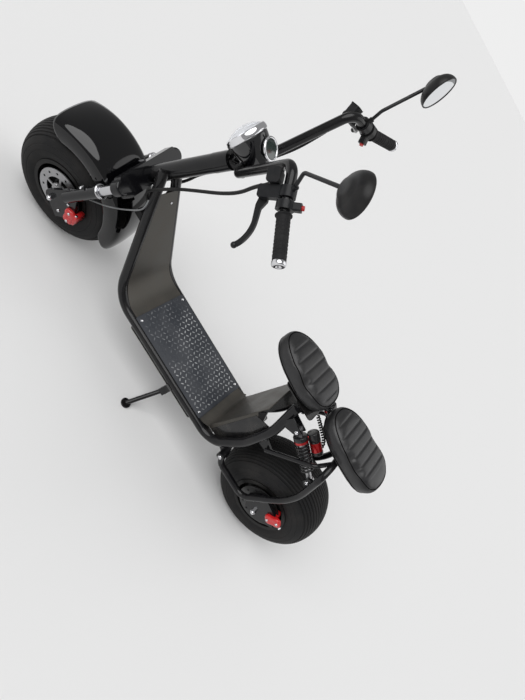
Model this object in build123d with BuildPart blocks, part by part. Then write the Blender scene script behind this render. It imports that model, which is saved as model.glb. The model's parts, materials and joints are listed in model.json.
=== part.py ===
from build123d import *
import math
import os

# Electric moped with two small saddles and fat tyres, parked on its side stand.
# Every piece is drawn on the upright bike: X forwards, Y to the left, Z up, in
# millimetres, with the origin on the ground under the rear axle. At the end each
# piece is turned with the bars and leaned over onto the stand.

# Stance
wheelbase = 1398
lean_angle = 10
steer_angle = 12.4

# Tyres and wheels
tyre_od = 455
tyre_width = 219
tyre_crown_radius = 161
tyre_shoulder_radius = 68
tyre_bead_half = 98
tyre_wall = 12
rim_radius = 112
rim_wall = 8
rim_lip = 7
rim_lip_thickness = 3
hub_radius = 42
hub_length = 176
web_thickness = 6
web_hole_radius = 17
web_hole_count = 6
motor_radius = 96
motor_width = 150
motor_cover_depth = 16
axle_radius = 7
axle_nut_radius = 11
axle_nut_length = 11
running_gap = 0.3
body_gap = 6

# Brake discs
disc_radius = 90
disc_inner_radius = 58
disc_thickness = 4
disc_carrier_radius = 34
disc_spoke_width = 9
disc_spoke_count = 5
disc_offset = 106
disc_boss_radius = 36
disc_hole_radius = 4.5
disc_hole_count = 12

# Steering head and fork, measured along and across the steering axis
head_rake = 24.9
fork_offset = 25
head_foot_x = 1374.8
head_foot_z = 217
head_tube_radius = 29
head_bore_radius = 15.5
head_tube_low = 400
head_tube_high = 653
stem_height = 65
stem_radius = 30
steerer_radius = 15
leg_forward = 12
sleeve_radius = 27
sleeve_low = 339
sleeve_high = 380
sleeve_rounding = 8
stanchion_radius = 16
stanchion_seat = 26
slider_radius = 22
slider_high = 262
slider_low = 72
slider_collar = 10
dropout_thickness = 14
dropout_radius = 27
casting_reach = 92
casting_high = 118
crown_depth = 72
crown_height = 32

# Main frame
rail_radius = 18
rail_y = 125
rail_z = 208
rail_top_y = 85
shield_foot_x = 956
shield_slope = 62.3
shield_taper = 0.2147
shield_bend = 130
rail_head_z = 640
cross_bar_radius = 10
cross_bar_drop = 4
riser_foot_x = 312
sheet_thickness = 3
shield_top_z = 575
sheet_lift = 16.5
sheet_half_width = 114
mat_front_x = 852
mat_rear_x = 411
mat_half_width = 127
mat_thickness = 3
screw_radius = 4
panel_foot_x = 368
panel_top_x = 350
panel_top_z = 560
panel_bend = 45
panel_half_width = 103
side_panel_thickness = 3
battery_length = 420
battery_width = 196
battery_height = 66

# Seats
seat_base_z = 662
seat_base_thickness = 4
front_seat_front_x = 546
front_seat_rear_x = 252
front_seat_nose_width = 104
front_seat_width = 182
rear_seat_front_x = 246
rear_seat_rear_x = -70
rear_seat_width = 190
seat_pan_thickness = 8
seat_height = 68
seat_base_length = 150
seat_base_width = 156

# Rear hoops, stays and shocks
hoop_radius = 12.5
hoop_y = 135
hoop_pivot_x = 250
hoop_pivot_z = 240
hoop_bushing_radius = 17
lug_thickness = 9
stay_radius = 8
stay_y = 141
shock_y = 104
shock_spring_radius = 24
spring_length = 118
spring_coils = 8
shock_body_radius = 15
shock_eye_radius = 12
shock_eye_width = 20
reservoir_radius = 20
reservoir_up = 30
reservoir_in = 34
reservoir_length = 84

# Fender
fender_ahead = 14
fender_above = 13
fender_lip_radius = 266
fender_crown_radius = 275
fender_half_width = 111
fender_thickness = 3
fender_start = 61.5
fender_sweep = 130
fender_strap_width = 40
fender_strap_thickness = 5

# Handlebar and controls
bar_radius = 14
grip_bar_radius = 11
grip_radius = 17
grip_gap = 8
grip_length = 118
grip_end_radius = 17.5
grip_end_length = 12
grip_x = 882
grip_y = 266
grip_z = 1125
grip_sweep_back = 72
grip_spread = 95
grip_drop = 15
bar_top_x = 952
bar_top_y = 180
bar_top_z = 1166
bar_foot_x = 1032
bar_foot_y = 40
bar_foot_z = 886
clamp_back = 46
clamp_width = 26
clamp_wall = 7
control_roll = {"left": -55, "right": -30}
cylinder_radius = 10
outlet_radius = 7
outlet_drop = 18
lever_thickness = 9
lever_ball_radius = 8.5
switch_angle = {"left": 132, "right": -139}
switch_reach = 40
button_radius = 6
grip_flange_radius = 21
mirror_boss_radius = 8
mirror_boss_top = 30
mirror_half_length = 64
mirror_half_width = 51
mirror_depth = 32
mirror_socket = 8
mirror_stalk_radius = 5
mirror_rim = 4

# Headlight
light_x = 1085
light_z = 961
light_radius = 59
light_rim_radius = 62
light_rim_length = 18
light_length = 88
light_middle_radius = 47
light_back_radius = 34
light_tilt = 12
lens_bulge = 20
display_radius = 30
display_length = 8

# Wire bundles
bundle_radius = 5
gland_top = 460
gland_height = 28
gland_half_width = 44

# Side stand
stand_pivot_x = 569
stand_pivot_y = 132
stand_pivot_z = 138
stand_splay = 50
stand_forward = 13
stand_leg_radius = 9
stand_foot_radius = 20
stand_foot_thickness = 6
stand_boss_radius = 14
stand_boss_length = 20
stand_bracket_thickness = 6
stand_clearance = 0.3

# Brake calipers
caliper_length = 62
caliper_depth = 34
caliper_gap = 1.5
caliper_pad = 12
caliper_distance = 74

stem_top = head_tube_high + stem_height
tyre_radius = tyre_od / 2
tyre_half = tyre_width / 2
axle_height = tyre_radius
leg_y = tyre_half + body_gap + slider_radius
dropout_y = leg_y
caliper_half = disc_thickness / 2 + caliper_gap + caliper_pad
rear_plate_y = disc_offset + caliper_half + running_gap + dropout_thickness / 2

head = Plane(
    origin=(head_foot_x, 0, head_foot_z),
    x_dir=(math.cos(math.radians(head_rake)), 0, math.sin(math.radians(head_rake))),
    z_dir=(-math.sin(math.radians(head_rake)), 0, math.cos(math.radians(head_rake))),
)
rear_axle = Vector(0, 0, axle_height)
front_axle = head.from_local_coords(Vector(fork_offset, 0, 0))
sides = {"left": 1, "right": -1}

pieces = {}


def keep(name, solid, body):
    """Keep a finished piece with the body that it moves with."""
    pieces[name] = (solid, body)


def at_side(y):
    """The upright plane at a distance y to the left, with X and Z as its axes."""
    return Plane(origin=(0, y, 0), x_dir=(1, 0, 0), z_dir=(0, -1, 0))


def on_head(forward, left, along):
    """A point given forwards of, left of and along the steering axis."""
    return head.from_local_coords(Vector(forward, left, along))


def across_head(along):
    """The plane square to the steering axis at a height along it."""
    return Plane(origin=on_head(0, 0, along), x_dir=head.x_dir, z_dir=head.z_dir)


def bent_tube(points, bends, radius):
    """A round bar along straight runs joined by arcs."""
    with BuildPart() as bar:
        with BuildLine():
            middle_line = FilletPolyline(*points, radius=bends)
        with BuildSketch(Plane(origin=middle_line @ 0, z_dir=middle_line % 0)):
            Circle(radius)
        sweep(path=middle_line)
    return bar.part


def round_bar(start, end, radius):
    """A straight round bar from one point to another."""
    start = Vector(start)
    end = Vector(end)
    with BuildPart() as bar:
        with BuildSketch(Plane(origin=start, z_dir=end - start)):
            Circle(radius)
        extrude(amount=(end - start).length)
    return bar.part


def rounded_bar(start, end, radius, rounding):
    """A straight round bar with its two ends rounded over."""
    with BuildPart() as bar:
        add(round_bar(start, end, radius))
        fillet(bar.edges().filter_by(GeomType.CIRCLE), rounding)
    return bar.part


def across(centre, y_low, y_high, radius):
    """A round bar parallel to the axles, between two distances from the middle."""
    return round_bar((centre.X, y_low, centre.Z), (centre.X, y_high, centre.Z), radius)


# Wheels: tyre, rim and hub drawn as half sections turned about the axle
crown_ring = tyre_radius - tyre_crown_radius
shoulder_reach = tyre_crown_radius - tyre_shoulder_radius
shoulder_sine = (tyre_half - tyre_shoulder_radius) / shoulder_reach
shoulder_y = shoulder_reach * shoulder_sine
shoulder_r = crown_ring + shoulder_reach * math.sqrt(1 - shoulder_sine**2)


def section_point(reach, angle):
    """A point of the shoulder circle, as (across, out from the axle)."""
    return (
        shoulder_y + reach * math.cos(math.radians(angle)),
        shoulder_r + reach * math.sin(math.radians(angle)),
    )


def tyre_outline(inset):
    """Half the tyre's closed outline, drawn in by an inset."""
    crown = tyre_crown_radius - inset
    shoulder = tyre_shoulder_radius - inset
    half_lean = math.asin(shoulder_sine) / 2
    join_angle = 90 - 2 * math.degrees(half_lean)
    top = (0, crown_ring + crown)
    crown_middle = (crown * math.sin(half_lean), crown_ring + crown * math.cos(half_lean))
    join = section_point(shoulder, join_angle)
    widest = (tyre_half - inset, shoulder_r)
    bead = (tyre_bead_half - inset, rim_radius)
    with BuildLine() as outline:
        ThreePointArc(top, crown_middle, join)
        ThreePointArc(join, section_point(shoulder, join_angle / 2), widest)
        TangentArc(widest, bead, tangent=(0, -1))
        Polyline(bead, (0, rim_radius), top)
    return outline.edges()


bead_reach = tyre_half - tyre_bead_half
bead_radius = (bead_reach**2 + (shoulder_r - rim_radius) ** 2) / (2 * bead_reach)
lip_drop = shoulder_r - rim_radius - rim_lip
lip_y = tyre_half - bead_radius + math.sqrt(bead_radius**2 - lip_drop**2) + running_gap
boss_end = disc_offset - disc_thickness / 2
tyre_outer = tyre_outline(0)
tyre_inner = tyre_outline(tyre_wall)

for wheel, axle in (("front", front_axle), ("rear", rear_axle)):
    spin = Axis(axle, (0, 1, 0))
    section = Plane(origin=axle, x_dir=(0, 1, 0), z_dir=(1, 0, 0))
    middle_plane = Plane(origin=axle, x_dir=(1, 0, 0), z_dir=(0, -1, 0))

    with BuildPart() as tyre:
        with BuildSketch(section):
            make_face(tyre_outer)
            make_face(tyre_inner, mode=Mode.SUBTRACT)
        revolve(axis=spin)
        mirror(about=middle_plane)
    keep(f"{wheel}_tyre", tyre.part, f"{wheel}_wheel")

    with BuildPart() as rim:
        with BuildSketch(section):
            barrel_out = rim_radius - running_gap
            with Locations((0, barrel_out - rim_wall / 2)):
                Rectangle(2 * (lip_y + rim_lip_thickness), rim_wall)
            for turn in (1, -1):
                with Locations((turn * (lip_y + rim_lip_thickness / 2), rim_radius)):
                    Rectangle(rim_lip_thickness, 2 * rim_lip)
        revolve(axis=spin)
    rim_inner = barrel_out - rim_wall
    bore = axle_radius + running_gap

    if wheel == "front":
        with BuildPart() as hub:
            with BuildSketch(section):
                with Locations((0, (hub_radius + bore) / 2)):
                    Rectangle(hub_length, hub_radius - bore)
                with Locations((0, (rim_inner + hub_radius) / 2)):
                    Rectangle(web_thickness, rim_inner - hub_radius + 2)
            revolve(axis=spin)
            with BuildSketch(middle_plane):
                with PolarLocations((rim_inner + hub_radius) / 2, web_hole_count):
                    Circle(web_hole_radius)
            extrude(amount=web_thickness, both=True, mode=Mode.SUBTRACT)
            with BuildSketch(section):
                with Locations(((hub_length / 2 + boss_end) / 2, (disc_boss_radius + bore) / 2)):
                    Rectangle(boss_end - hub_length / 2, disc_boss_radius - bore)
            revolve(axis=spin)
            add(rim.part)
        keep("front_rim", hub.part, "front_wheel")
    else:
        with BuildPart() as motor:
            with BuildSketch(section):
                with BuildLine():
                    half = motor_width / 2
                    Polyline(
                        (0, bore),
                        (half + motor_cover_depth, bore),
                        (half + motor_cover_depth, motor_radius * 0.4),
                        (half, motor_radius - 8),
                        (half - 8, motor_radius),
                        (0, motor_radius),
                        (0, bore),
                    )
                make_face()
            revolve(axis=spin)
            mirror(about=middle_plane)
            with BuildSketch(section):
                with Locations((0, (rim_inner + motor_radius) / 2)):
                    Rectangle(web_thickness * 4, rim_inner - motor_radius + 2)
            revolve(axis=spin)
            cover_end = half + motor_cover_depth
            with BuildSketch(section):
                with Locations(((cover_end + boss_end) / 2, (disc_boss_radius + bore) / 2)):
                    Rectangle(boss_end - cover_end, disc_boss_radius - bore)
            revolve(axis=spin)
            add(rim.part)
        keep("rear_hub_motor", motor.part, "rear_wheel")

    disc_plane = Plane(origin=axle + Vector(0, disc_offset, 0), x_dir=(1, 0, 0), z_dir=(0, -1, 0))
    with BuildPart() as disc:
        with BuildSketch(disc_plane):
            Circle(disc_radius)
            Circle(disc_inner_radius, mode=Mode.SUBTRACT)
            Circle(disc_carrier_radius)
            with PolarLocations((disc_inner_radius + disc_carrier_radius) / 2, disc_spoke_count):
                Rectangle(disc_inner_radius - disc_carrier_radius + 8, disc_spoke_width)
            Circle(axle_nut_radius + 4, mode=Mode.SUBTRACT)
            with PolarLocations((disc_radius + disc_inner_radius) / 2, disc_hole_count):
                Circle(disc_hole_radius, mode=Mode.SUBTRACT)
        extrude(amount=disc_thickness / 2, both=True)
    keep(f"{wheel}_brake_disc", disc.part, f"{wheel}_wheel")


# Front fork and steering head
def leg_point(side, along):
    """A point on the middle of a fork leg."""
    return on_head(leg_forward, side * leg_y, along)


fender_centre = front_axle + Vector(fender_ahead, 0, fender_above)
fender_middle = head.to_local_coords(fender_centre)
with BuildPart() as crown:
    with BuildSketch(across_head(sleeve_high - crown_height)):
        with Locations((leg_forward / 2 + 3, 0)):
            RectangleRounded(crown_depth, 2 * leg_y, 12)
    extrude(amount=crown_height)
    for side in sides.values():
        add(rounded_bar(leg_point(side, sleeve_low), leg_point(side, sleeve_high), sleeve_radius, sleeve_rounding))
    with BuildSketch(across_head(sleeve_high)):
        Circle(steerer_radius)
    extrude(amount=stem_top - sleeve_high - 8)
    with BuildSketch(across_head(sleeve_high)):
        Circle(head_tube_radius - 2)
    extrude(amount=head_tube_low - sleeve_high - running_gap)
    for side in sides.values():
        with BuildSketch(Plane(origin=leg_point(side, sleeve_low), z_dir=head.z_dir)):
            Circle(stanchion_radius + running_gap)
        extrude(amount=stanchion_seat, mode=Mode.SUBTRACT)
    strap_top = sleeve_high - crown_height
    strap_x = leg_forward / 2
    strap_drop = strap_x - fender_middle.X
    strap_reach = fender_middle.Z + math.sqrt((fender_crown_radius + 1) ** 2 - strap_drop**2)
    with BuildSketch(across_head(strap_top)):
        with Locations((strap_x, 0)):
            Rectangle(fender_strap_thickness, fender_strap_width)
    extrude(amount=strap_reach - strap_top)
keep("fork_crown", crown.part, "steering")

with BuildPart() as stanchions:
    for side in sides.values():
        with BuildSketch(Plane(origin=leg_point(side, slider_high), z_dir=head.z_dir)):
            Circle(stanchion_radius)
        extrude(amount=sleeve_low + stanchion_seat - slider_high)
keep("fork_stanchions", stanchions.part, "steering")

with BuildPart() as sliders:
    for side in sides.values():
        with BuildSketch(Plane(origin=leg_point(side, slider_low), z_dir=head.z_dir)):
            Circle(slider_radius)
        extrude(amount=slider_high - slider_low)
        with BuildSketch(Plane(origin=leg_point(side, slider_high - slider_collar), z_dir=head.z_dir)):
            Circle(slider_radius + 3)
        extrude(amount=slider_collar)
        plate = Plane(origin=on_head(0, side * dropout_y, 0), x_dir=head.x_dir, z_dir=(0, -1, 0))
        with BuildSketch(plate):
            with Locations((fork_offset, 0)):
                Circle(dropout_radius)
            with BuildLine():
                Polyline(
                    (fork_offset + dropout_radius, 0),
                    (leg_forward + slider_radius, slider_low + 50),
                    (leg_forward - slider_radius, slider_low + 50),
                    (fork_offset - dropout_radius, 0),
                    (fork_offset + dropout_radius, 0),
                )
            make_face()
            if side > 0:
                with BuildLine():
                    Polyline(
                        (fork_offset, -dropout_radius),
                        (fork_offset - casting_reach + 22, -dropout_radius - 14),
                        (fork_offset - casting_reach, casting_high / 2 - 10),
                        (leg_forward - slider_radius, casting_high),
                        (leg_forward, slider_low),
                        (fork_offset, -dropout_radius),
                    )
                make_face()
            with Locations((fork_offset, 0)):
                Circle(axle_radius, mode=Mode.SUBTRACT)
        extrude(amount=dropout_thickness / 2, both=True)
keep("fork_sliders", sliders.part, "steering")

for wheel, axle, carrier_y, body in (
    ("front", front_axle, dropout_y, "steering"),
    ("rear", rear_axle, rear_plate_y, "frame"),
):
    outer = carrier_y + dropout_thickness / 2
    with BuildPart() as shaft:
        add(across(axle, -outer - axle_nut_length, outer + axle_nut_length, axle_radius))
        for side in sides.values():
            with BuildSketch(Plane(origin=axle + Vector(0, side * outer, 0), z_dir=(0, side, 0))):
                RegularPolygon(axle_nut_radius, 6)
            extrude(amount=axle_nut_length)
    keep(f"{wheel}_axle", shaft.part, body)

fender_spin = Axis(fender_centre, (0, 1, 0))
fender_way = Vector(math.cos(math.radians(fender_start)), 0, math.sin(math.radians(fender_start)))
with BuildPart() as fender:
    fender_plane = Plane(origin=fender_centre, x_dir=(0, 1, 0), z_dir=Vector(0, 1, 0).cross(fender_way))
    with BuildSketch(fender_plane):
        with BuildLine():
            ThreePointArc(
                (-fender_half_width, fender_lip_radius),
                (0, fender_crown_radius),
                (fender_half_width, fender_lip_radius),
            )
            offset(amount=fender_thickness, side=Side.RIGHT)
        make_face()
    revolve(axis=fender_spin, revolution_arc=-fender_sweep)
keep("front_fender", fender.part, "steering")

# Main frame: two side rails bent from one tube each, joined at the head tube
shock_front = Vector(248, 0, 628)
shock_rear = Vector(66, 0, 548)
shock_way = (shock_rear - shock_front).normalized()
rail_waist_x = riser_foot_x - 36
slope = math.radians(shield_slope)
rail_run = (rail_head_z - rail_z) / math.tan(slope)
rails = {}
for name, side in sides.items():
    rail_points = [
        (
            shield_foot_x + rail_run,
            side * (rail_y - shield_taper * (rail_head_z - rail_z)),
            rail_head_z,
        ),
        (shield_foot_x, side * rail_y, rail_z),
        (riser_foot_x, side * rail_y, rail_z),
        (riser_foot_x - 44, side * rail_y, rail_z + 170),
        (rail_waist_x, side * rail_y, rail_z + 330),
        (riser_foot_x + 6, side * rail_top_y, seat_base_z - 2),
    ]
    rails[name] = bent_tube(rail_points, [shield_bend, 85, 260, 160], rail_radius)

with BuildPart() as frame:
    with BuildSketch(across_head(head_tube_low)):
        Circle(head_tube_radius)
    extrude(amount=head_tube_high - head_tube_low)
    for rail in rails.values():
        add(rail)
    with BuildSketch(across_head(head_tube_low)):
        Circle(head_bore_radius)
    extrude(amount=head_tube_high - head_tube_low, mode=Mode.SUBTRACT)
    for x in (shield_foot_x - 90, (mat_front_x + mat_rear_x) / 2, riser_foot_x + 70):
        add(across(Vector(x, 0, rail_z - cross_bar_drop), -rail_y, rail_y, cross_bar_radius))
    for side in sides.values():
        hoop_lug = hoop_y - hoop_radius - running_gap - lug_thickness / 2
        with BuildSketch(at_side(side * hoop_lug)):
            with BuildLine():
                Polyline(
                    (hoop_pivot_x, hoop_pivot_z - hoop_bushing_radius),
                    (hoop_pivot_x + 56, hoop_pivot_z + 10),
                    (hoop_pivot_x + 34, hoop_pivot_z + 90),
                    (hoop_pivot_x - hoop_bushing_radius, hoop_pivot_z + 4),
                    (hoop_pivot_x, hoop_pivot_z - hoop_bushing_radius),
                )
            make_face()
        extrude(amount=lug_thickness / 2, both=True)
        for lug_side in (1, -1):
            lug_y = shock_y + lug_side * (shock_eye_width / 2 + running_gap + lug_thickness / 4)
            with BuildSketch(at_side(side * lug_y)):
                with BuildLine():
                    Polyline(
                        (shock_front.X - 12, shock_front.Z - 12),
                        (rail_waist_x + 26, shock_front.Z - 48),
                        (rail_waist_x + 22, shock_front.Z + 20),
                        (shock_front.X - 12, shock_front.Z + 14),
                        (shock_front.X - 12, shock_front.Z - 12),
                    )
                make_face()
            extrude(amount=lug_thickness / 4, both=True)
        with BuildSketch(at_side(side * (stay_y - stay_radius - running_gap - lug_thickness / 2))):
            with BuildLine():
                Polyline((216, 462), (282, 452), (282, 506), (216, 488), (216, 462))
            make_face()
        extrude(amount=lug_thickness / 2, both=True)
    with BuildSketch(Plane.XY.offset(seat_base_z - running_gap)):
        with Locations((riser_foot_x, 0)):
            Rectangle(160, 4 * rail_top_y)
    extrude(amount=40, mode=Mode.SUBTRACT)
keep("frame", frame.part, "frame")

# Leg shield, floor and riser panel: one bent sheet between the rails
lean_x = -math.sin(slope)
lean_z = math.cos(slope)
shield_run = (shield_top_z - rail_z) / math.tan(slope)
shield_top = Vector(shield_foot_x + shield_run, 0, shield_top_z) + Vector(lean_x, 0, lean_z) * sheet_lift
bend_run = shield_bend * math.tan(slope / 2)
bend_end_x = shield_foot_x - bend_run + (shield_bend - sheet_lift) * math.sin(slope)
bend_end_y = sheet_half_width - shield_taper * bend_run * math.sin(slope) - 1
taper_end_x = shield_top.X + 30
taper_end_y = bend_end_y - shield_taper * math.tan(slope) * (taper_end_x - bend_end_x)
floor_z = rail_z + sheet_lift
corner_x = shield_foot_x - sheet_lift * math.tan((math.pi / 2 - (math.pi / 2 - slope)) / 2)
sheet_points = [
    (shield_top.X, 0, shield_top.Z),
    (corner_x, 0, floor_z),
    (panel_foot_x, 0, floor_z),
    (panel_top_x, 0, panel_top_z),
]
with BuildPart() as sheet:
    with BuildLine():
        sheet_line = FilletPolyline(*sheet_points, radius=[shield_bend - sheet_lift, panel_bend])
    with BuildSketch(Plane(origin=sheet_line @ 0, x_dir=(0, 1, 0), z_dir=sheet_line % 0)):
        Rectangle(2 * sheet_half_width, sheet_thickness)
    sweep(path=sheet_line)
    with BuildSketch(Plane.XY):
        for side in sides.values():
            with BuildLine():
                Polyline(
                    (shield_foot_x - bend_run + 12, side * sheet_half_width),
                    (bend_end_x, side * bend_end_y),
                    (taper_end_x, side * taper_end_y),
                    (taper_end_x, side * (sheet_half_width + 20)),
                    (shield_foot_x - bend_run + 12, side * (sheet_half_width + 20)),
                    (shield_foot_x - bend_run + 12, side * sheet_half_width),
                )
            make_face()
    extrude(amount=rail_head_z + 100, mode=Mode.SUBTRACT)
    with BuildSketch(Plane.XY.offset(floor_z + panel_bend / 2)):
        for side in sides.values():
            with Locations((panel_foot_x, side * (panel_half_width + 20))):
                Rectangle(120, 40)
    extrude(amount=panel_top_z, mode=Mode.SUBTRACT)
keep("floor_and_leg_shield", sheet.part, "frame")

with BuildPart() as mat:
    with BuildSketch(Plane.XY.offset(floor_z + sheet_thickness / 2 + running_gap)):
        with Locations(((mat_front_x + mat_rear_x) / 2, 0)):
            RectangleRounded(mat_front_x - mat_rear_x, 2 * mat_half_width, 6)
    extrude(amount=mat_thickness)
keep("floor_mat", mat.part, "frame")

with BuildPart() as battery:
    battery_top = rail_z - cross_bar_drop - cross_bar_radius - running_gap
    with BuildSketch(Plane.XY.offset(battery_top)):
        with Locations(((mat_front_x + mat_rear_x) / 2, 0)):
            RectangleRounded(battery_length, battery_width, 10)
    extrude(amount=-battery_height)
keep("battery_box", battery.part, "frame")

side_panel_y = rail_y - rail_radius - running_gap - side_panel_thickness / 2
with BuildPart() as side_panels:
    for side in sides.values():
        with BuildSketch(at_side(side * side_panel_y)):
            with BuildLine():
                Polyline(
                    (panel_foot_x - 14, floor_z + 8),
                    (panel_top_x - 6, panel_top_z - 70),
                    (riser_foot_x - 36, panel_top_z - 40),
                    (riser_foot_x - 40, rail_z + 120),
                    (riser_foot_x + 10, floor_z + 8),
                    (panel_foot_x - 14, floor_z + 8),
                )
            make_face()
        extrude(amount=side_panel_thickness / 2, both=True)
keep("riser_side_panels", side_panels.part, "frame")

with BuildPart() as seat_base:
    with BuildSketch(Plane.XY.offset(seat_base_z)):
        with Locations((riser_foot_x + 18, 0)):
            RectangleRounded(seat_base_length, seat_base_width, 14)
    extrude(amount=seat_base_thickness)
keep("seat_base", seat_base.part, "frame")


def saddle(front_x, rear_x, nose, width, base_z, height, rounding):
    """A rounded seat block, narrower at the front."""
    length = front_x - rear_x
    with BuildPart() as block:
        with BuildSketch(Plane.XY.offset(base_z)):
            with BuildLine():
                Polyline(
                    (front_x, nose / 2),
                    (rear_x + length * 0.35, width / 2),
                    (rear_x, width / 2),
                    (rear_x, -width / 2),
                    (rear_x + length * 0.35, -width / 2),
                    (front_x, -nose / 2),
                    (front_x, nose / 2),
                )
            make_face()
            fillet(vertices().group_by(Axis.X)[0], rounding)
            fillet(vertices().group_by(Axis.X)[-1], rounding)
        extrude(amount=height)
        fillet(block.edges().group_by(Axis.Z)[-1], 26)
        fillet(block.edges().group_by(Axis.Z)[0], 10)
    return block.part


front_seat_z = seat_base_z + seat_base_thickness + seat_pan_thickness + 2 * running_gap
for name, front_x, rear_x, nose, width in (
    ("front", front_seat_front_x, front_seat_rear_x, front_seat_nose_width, front_seat_width),
    ("rear", rear_seat_front_x, rear_seat_rear_x, rear_seat_width * 0.7, rear_seat_width),
):
    cushion = saddle(front_x, rear_x, nose, width, front_seat_z, seat_height, 45)
    keep(f"{name}_seat_cushion", cushion, "frame")
    with BuildPart() as pan:
        with BuildSketch(Plane.XY.offset(front_seat_z - seat_pan_thickness - running_gap)):
            with Locations(((front_x + rear_x) / 2, 0)):
                RectangleRounded(front_x - rear_x - 70, nose - 20, 25)
        extrude(amount=seat_pan_thickness)
    keep(f"{name}_seat_pan", pan.part, "frame")

# Rear hoops from the frame's heel round the axle and up to the rear seat
rear_pan_z = front_seat_z - seat_pan_thickness - running_gap
hoop_top_z = rear_pan_z - hoop_radius - running_gap
hoop_top_x = 86
with BuildPart() as hoops:
    for side in sides.values():
        hoop_points = [
            (hoop_pivot_x, side * hoop_y, hoop_pivot_z),
            (220, side * hoop_y, 204),
            (66, side * hoop_y, 204),
            (8, side * hoop_y, 443),
            (hoop_top_x, side * hoop_y, hoop_top_z),
            (hoop_top_x, 0, hoop_top_z),
        ]
        add(bent_tube(hoop_points, [40, 45, 300, 55], hoop_radius))
        bushing_low = side * (hoop_y - hoop_radius)
        bushing_high = side * (hoop_y + hoop_radius)
        add(across(Vector(hoop_pivot_x, 0, hoop_pivot_z), bushing_low, bushing_high, hoop_bushing_radius))
        lug_middle = shock_y + shock_eye_width / 2 + running_gap + lug_thickness / 2
        with BuildSketch(at_side(side * lug_middle)):
            with BuildLine():
                Polyline((30, 518), (76, 534), (80, 562), (52, 590), (30, 518))
            make_face()
        extrude(amount=lug_thickness / 2, both=True)
    for side in sides.values():
        with BuildSketch(at_side(side * rear_plate_y)):
            with BuildLine():
                Polyline((70, 250), (50, 330), (-40, 312), (-86, 262), (-36, 200), (30, 196), (70, 250))
            make_face()
            with Locations((0, axle_height)):
                Circle(axle_radius, mode=Mode.SUBTRACT)
        extrude(amount=dropout_thickness / 2, both=True)
keep("rear_hoops", hoops.part, "frame")

with BuildPart() as stays:
    for side in sides.values():
        stay_points = [
            (228, side * stay_y, 475),
            (128, side * stay_y, hoop_top_z - 12),
            (hoop_top_x, side * 68, hoop_top_z),
        ]
        add(bent_tube(stay_points, [24], stay_radius))
    hoop_top = Vector(hoop_top_x, 0, hoop_top_z)
    add(across(hoop_top, -hoop_y, hoop_y, hoop_radius + 2), mode=Mode.SUBTRACT)
keep("seat_stays", stays.part, "frame")

with BuildPart() as shocks:
    for side in sides.values():
        front = shock_front + Vector(0, side * shock_y, 0)
        rear = shock_rear + Vector(0, side * shock_y, 0)
        add(round_bar(front, rear, shock_body_radius - 5))
        add(round_bar(front + shock_way * 22, front + shock_way * 110, shock_body_radius))
        for eye in (front, rear):
            half_eye = shock_eye_width / 2
            add(across(eye, side * shock_y - half_eye, side * shock_y + half_eye, shock_eye_radius))
keep("rear_shocks", shocks.part, "frame")

shock_up = Vector(shock_way.Z, 0, -shock_way.X)
with BuildPart() as springs:
    for side in sides.values():
        front = shock_front + Vector(0, side * shock_y, 0)
        inner = shock_body_radius + running_gap
        pitch = spring_length / spring_coils
        coil_edge = [(inner, 0)]
        for coil in range(spring_coils):
            coil_edge.append((shock_spring_radius - 5, coil * pitch))
            coil_edge.append((shock_spring_radius, (coil + 0.5) * pitch))
        coil_edge.append((shock_spring_radius - 5, spring_length))
        coil_edge.append((inner, spring_length))
        section = Plane(origin=front + shock_way * 46, x_dir=shock_up, z_dir=(0, -1, 0))
        with BuildSketch(section):
            with BuildLine():
                Polyline(*coil_edge, close=True)
            make_face()
        revolve(axis=Axis(front, shock_way))
keep("shock_springs", springs.part, "frame")

with BuildPart() as collars:
    for side in sides.values():
        front = shock_front + Vector(0, side * shock_y, 0)
        with BuildSketch(Plane(origin=front + shock_way * 22, z_dir=shock_way)):
            Circle(shock_spring_radius)
            Circle(shock_body_radius + running_gap, mode=Mode.SUBTRACT)
        extrude(amount=23)
        tank_start = front + shock_way * 24 + shock_up * reservoir_up - Vector(0, side * reservoir_in, 0)
        add(round_bar(tank_start, tank_start + shock_way * reservoir_length, reservoir_radius))
        neck_way = (shock_up * reservoir_up - Vector(0, side * reservoir_in, 0)).normalized()
        neck_start = front + shock_way * 33.5
        add(round_bar(neck_start + neck_way * 18, neck_start + neck_way * 30, 6))
keep("shock_reservoirs", collars.part, "frame")

with BuildPart() as tail_lamp:
    with BuildSketch(Plane.XY.offset(rear_pan_z - 24)):
        with Locations((rear_seat_rear_x + 50, 0)):
            RectangleRounded(34, 70, 6)
    extrude(amount=24 - running_gap)
keep("tail_lamp", tail_lamp.part, "frame")

# Handlebar, grips and controls
def mirrored(point, side):
    """A point with its distance to the left taken on one side or the other."""
    point = Vector(point)
    return Vector(point.X, side * point.Y, point.Z)


grip_start = Vector(grip_x, grip_y, grip_z)
grip_way = Vector(-grip_sweep_back, grip_spread, -grip_drop).normalized()
bar_points = [
    grip_start,
    (bar_top_x, bar_top_y, bar_top_z),
    (bar_foot_x, bar_foot_y, bar_foot_z),
    (bar_foot_x, -bar_foot_y, bar_foot_z),
    (bar_top_x, -bar_top_y, bar_top_z),
    mirrored(grip_start, -1),
]
handlebar = bent_tube(bar_points, [42, 28, 28, 42], bar_radius)
with BuildPart() as bars:
    add(handlebar)
    for side in sides.values():
        start = mirrored(grip_start, side)
        way = mirrored(grip_way, side)
        add(round_bar(start - way * 6, start + way * (grip_gap + grip_length), grip_bar_radius))
keep("handlebar", bars.part, "steering")

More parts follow.
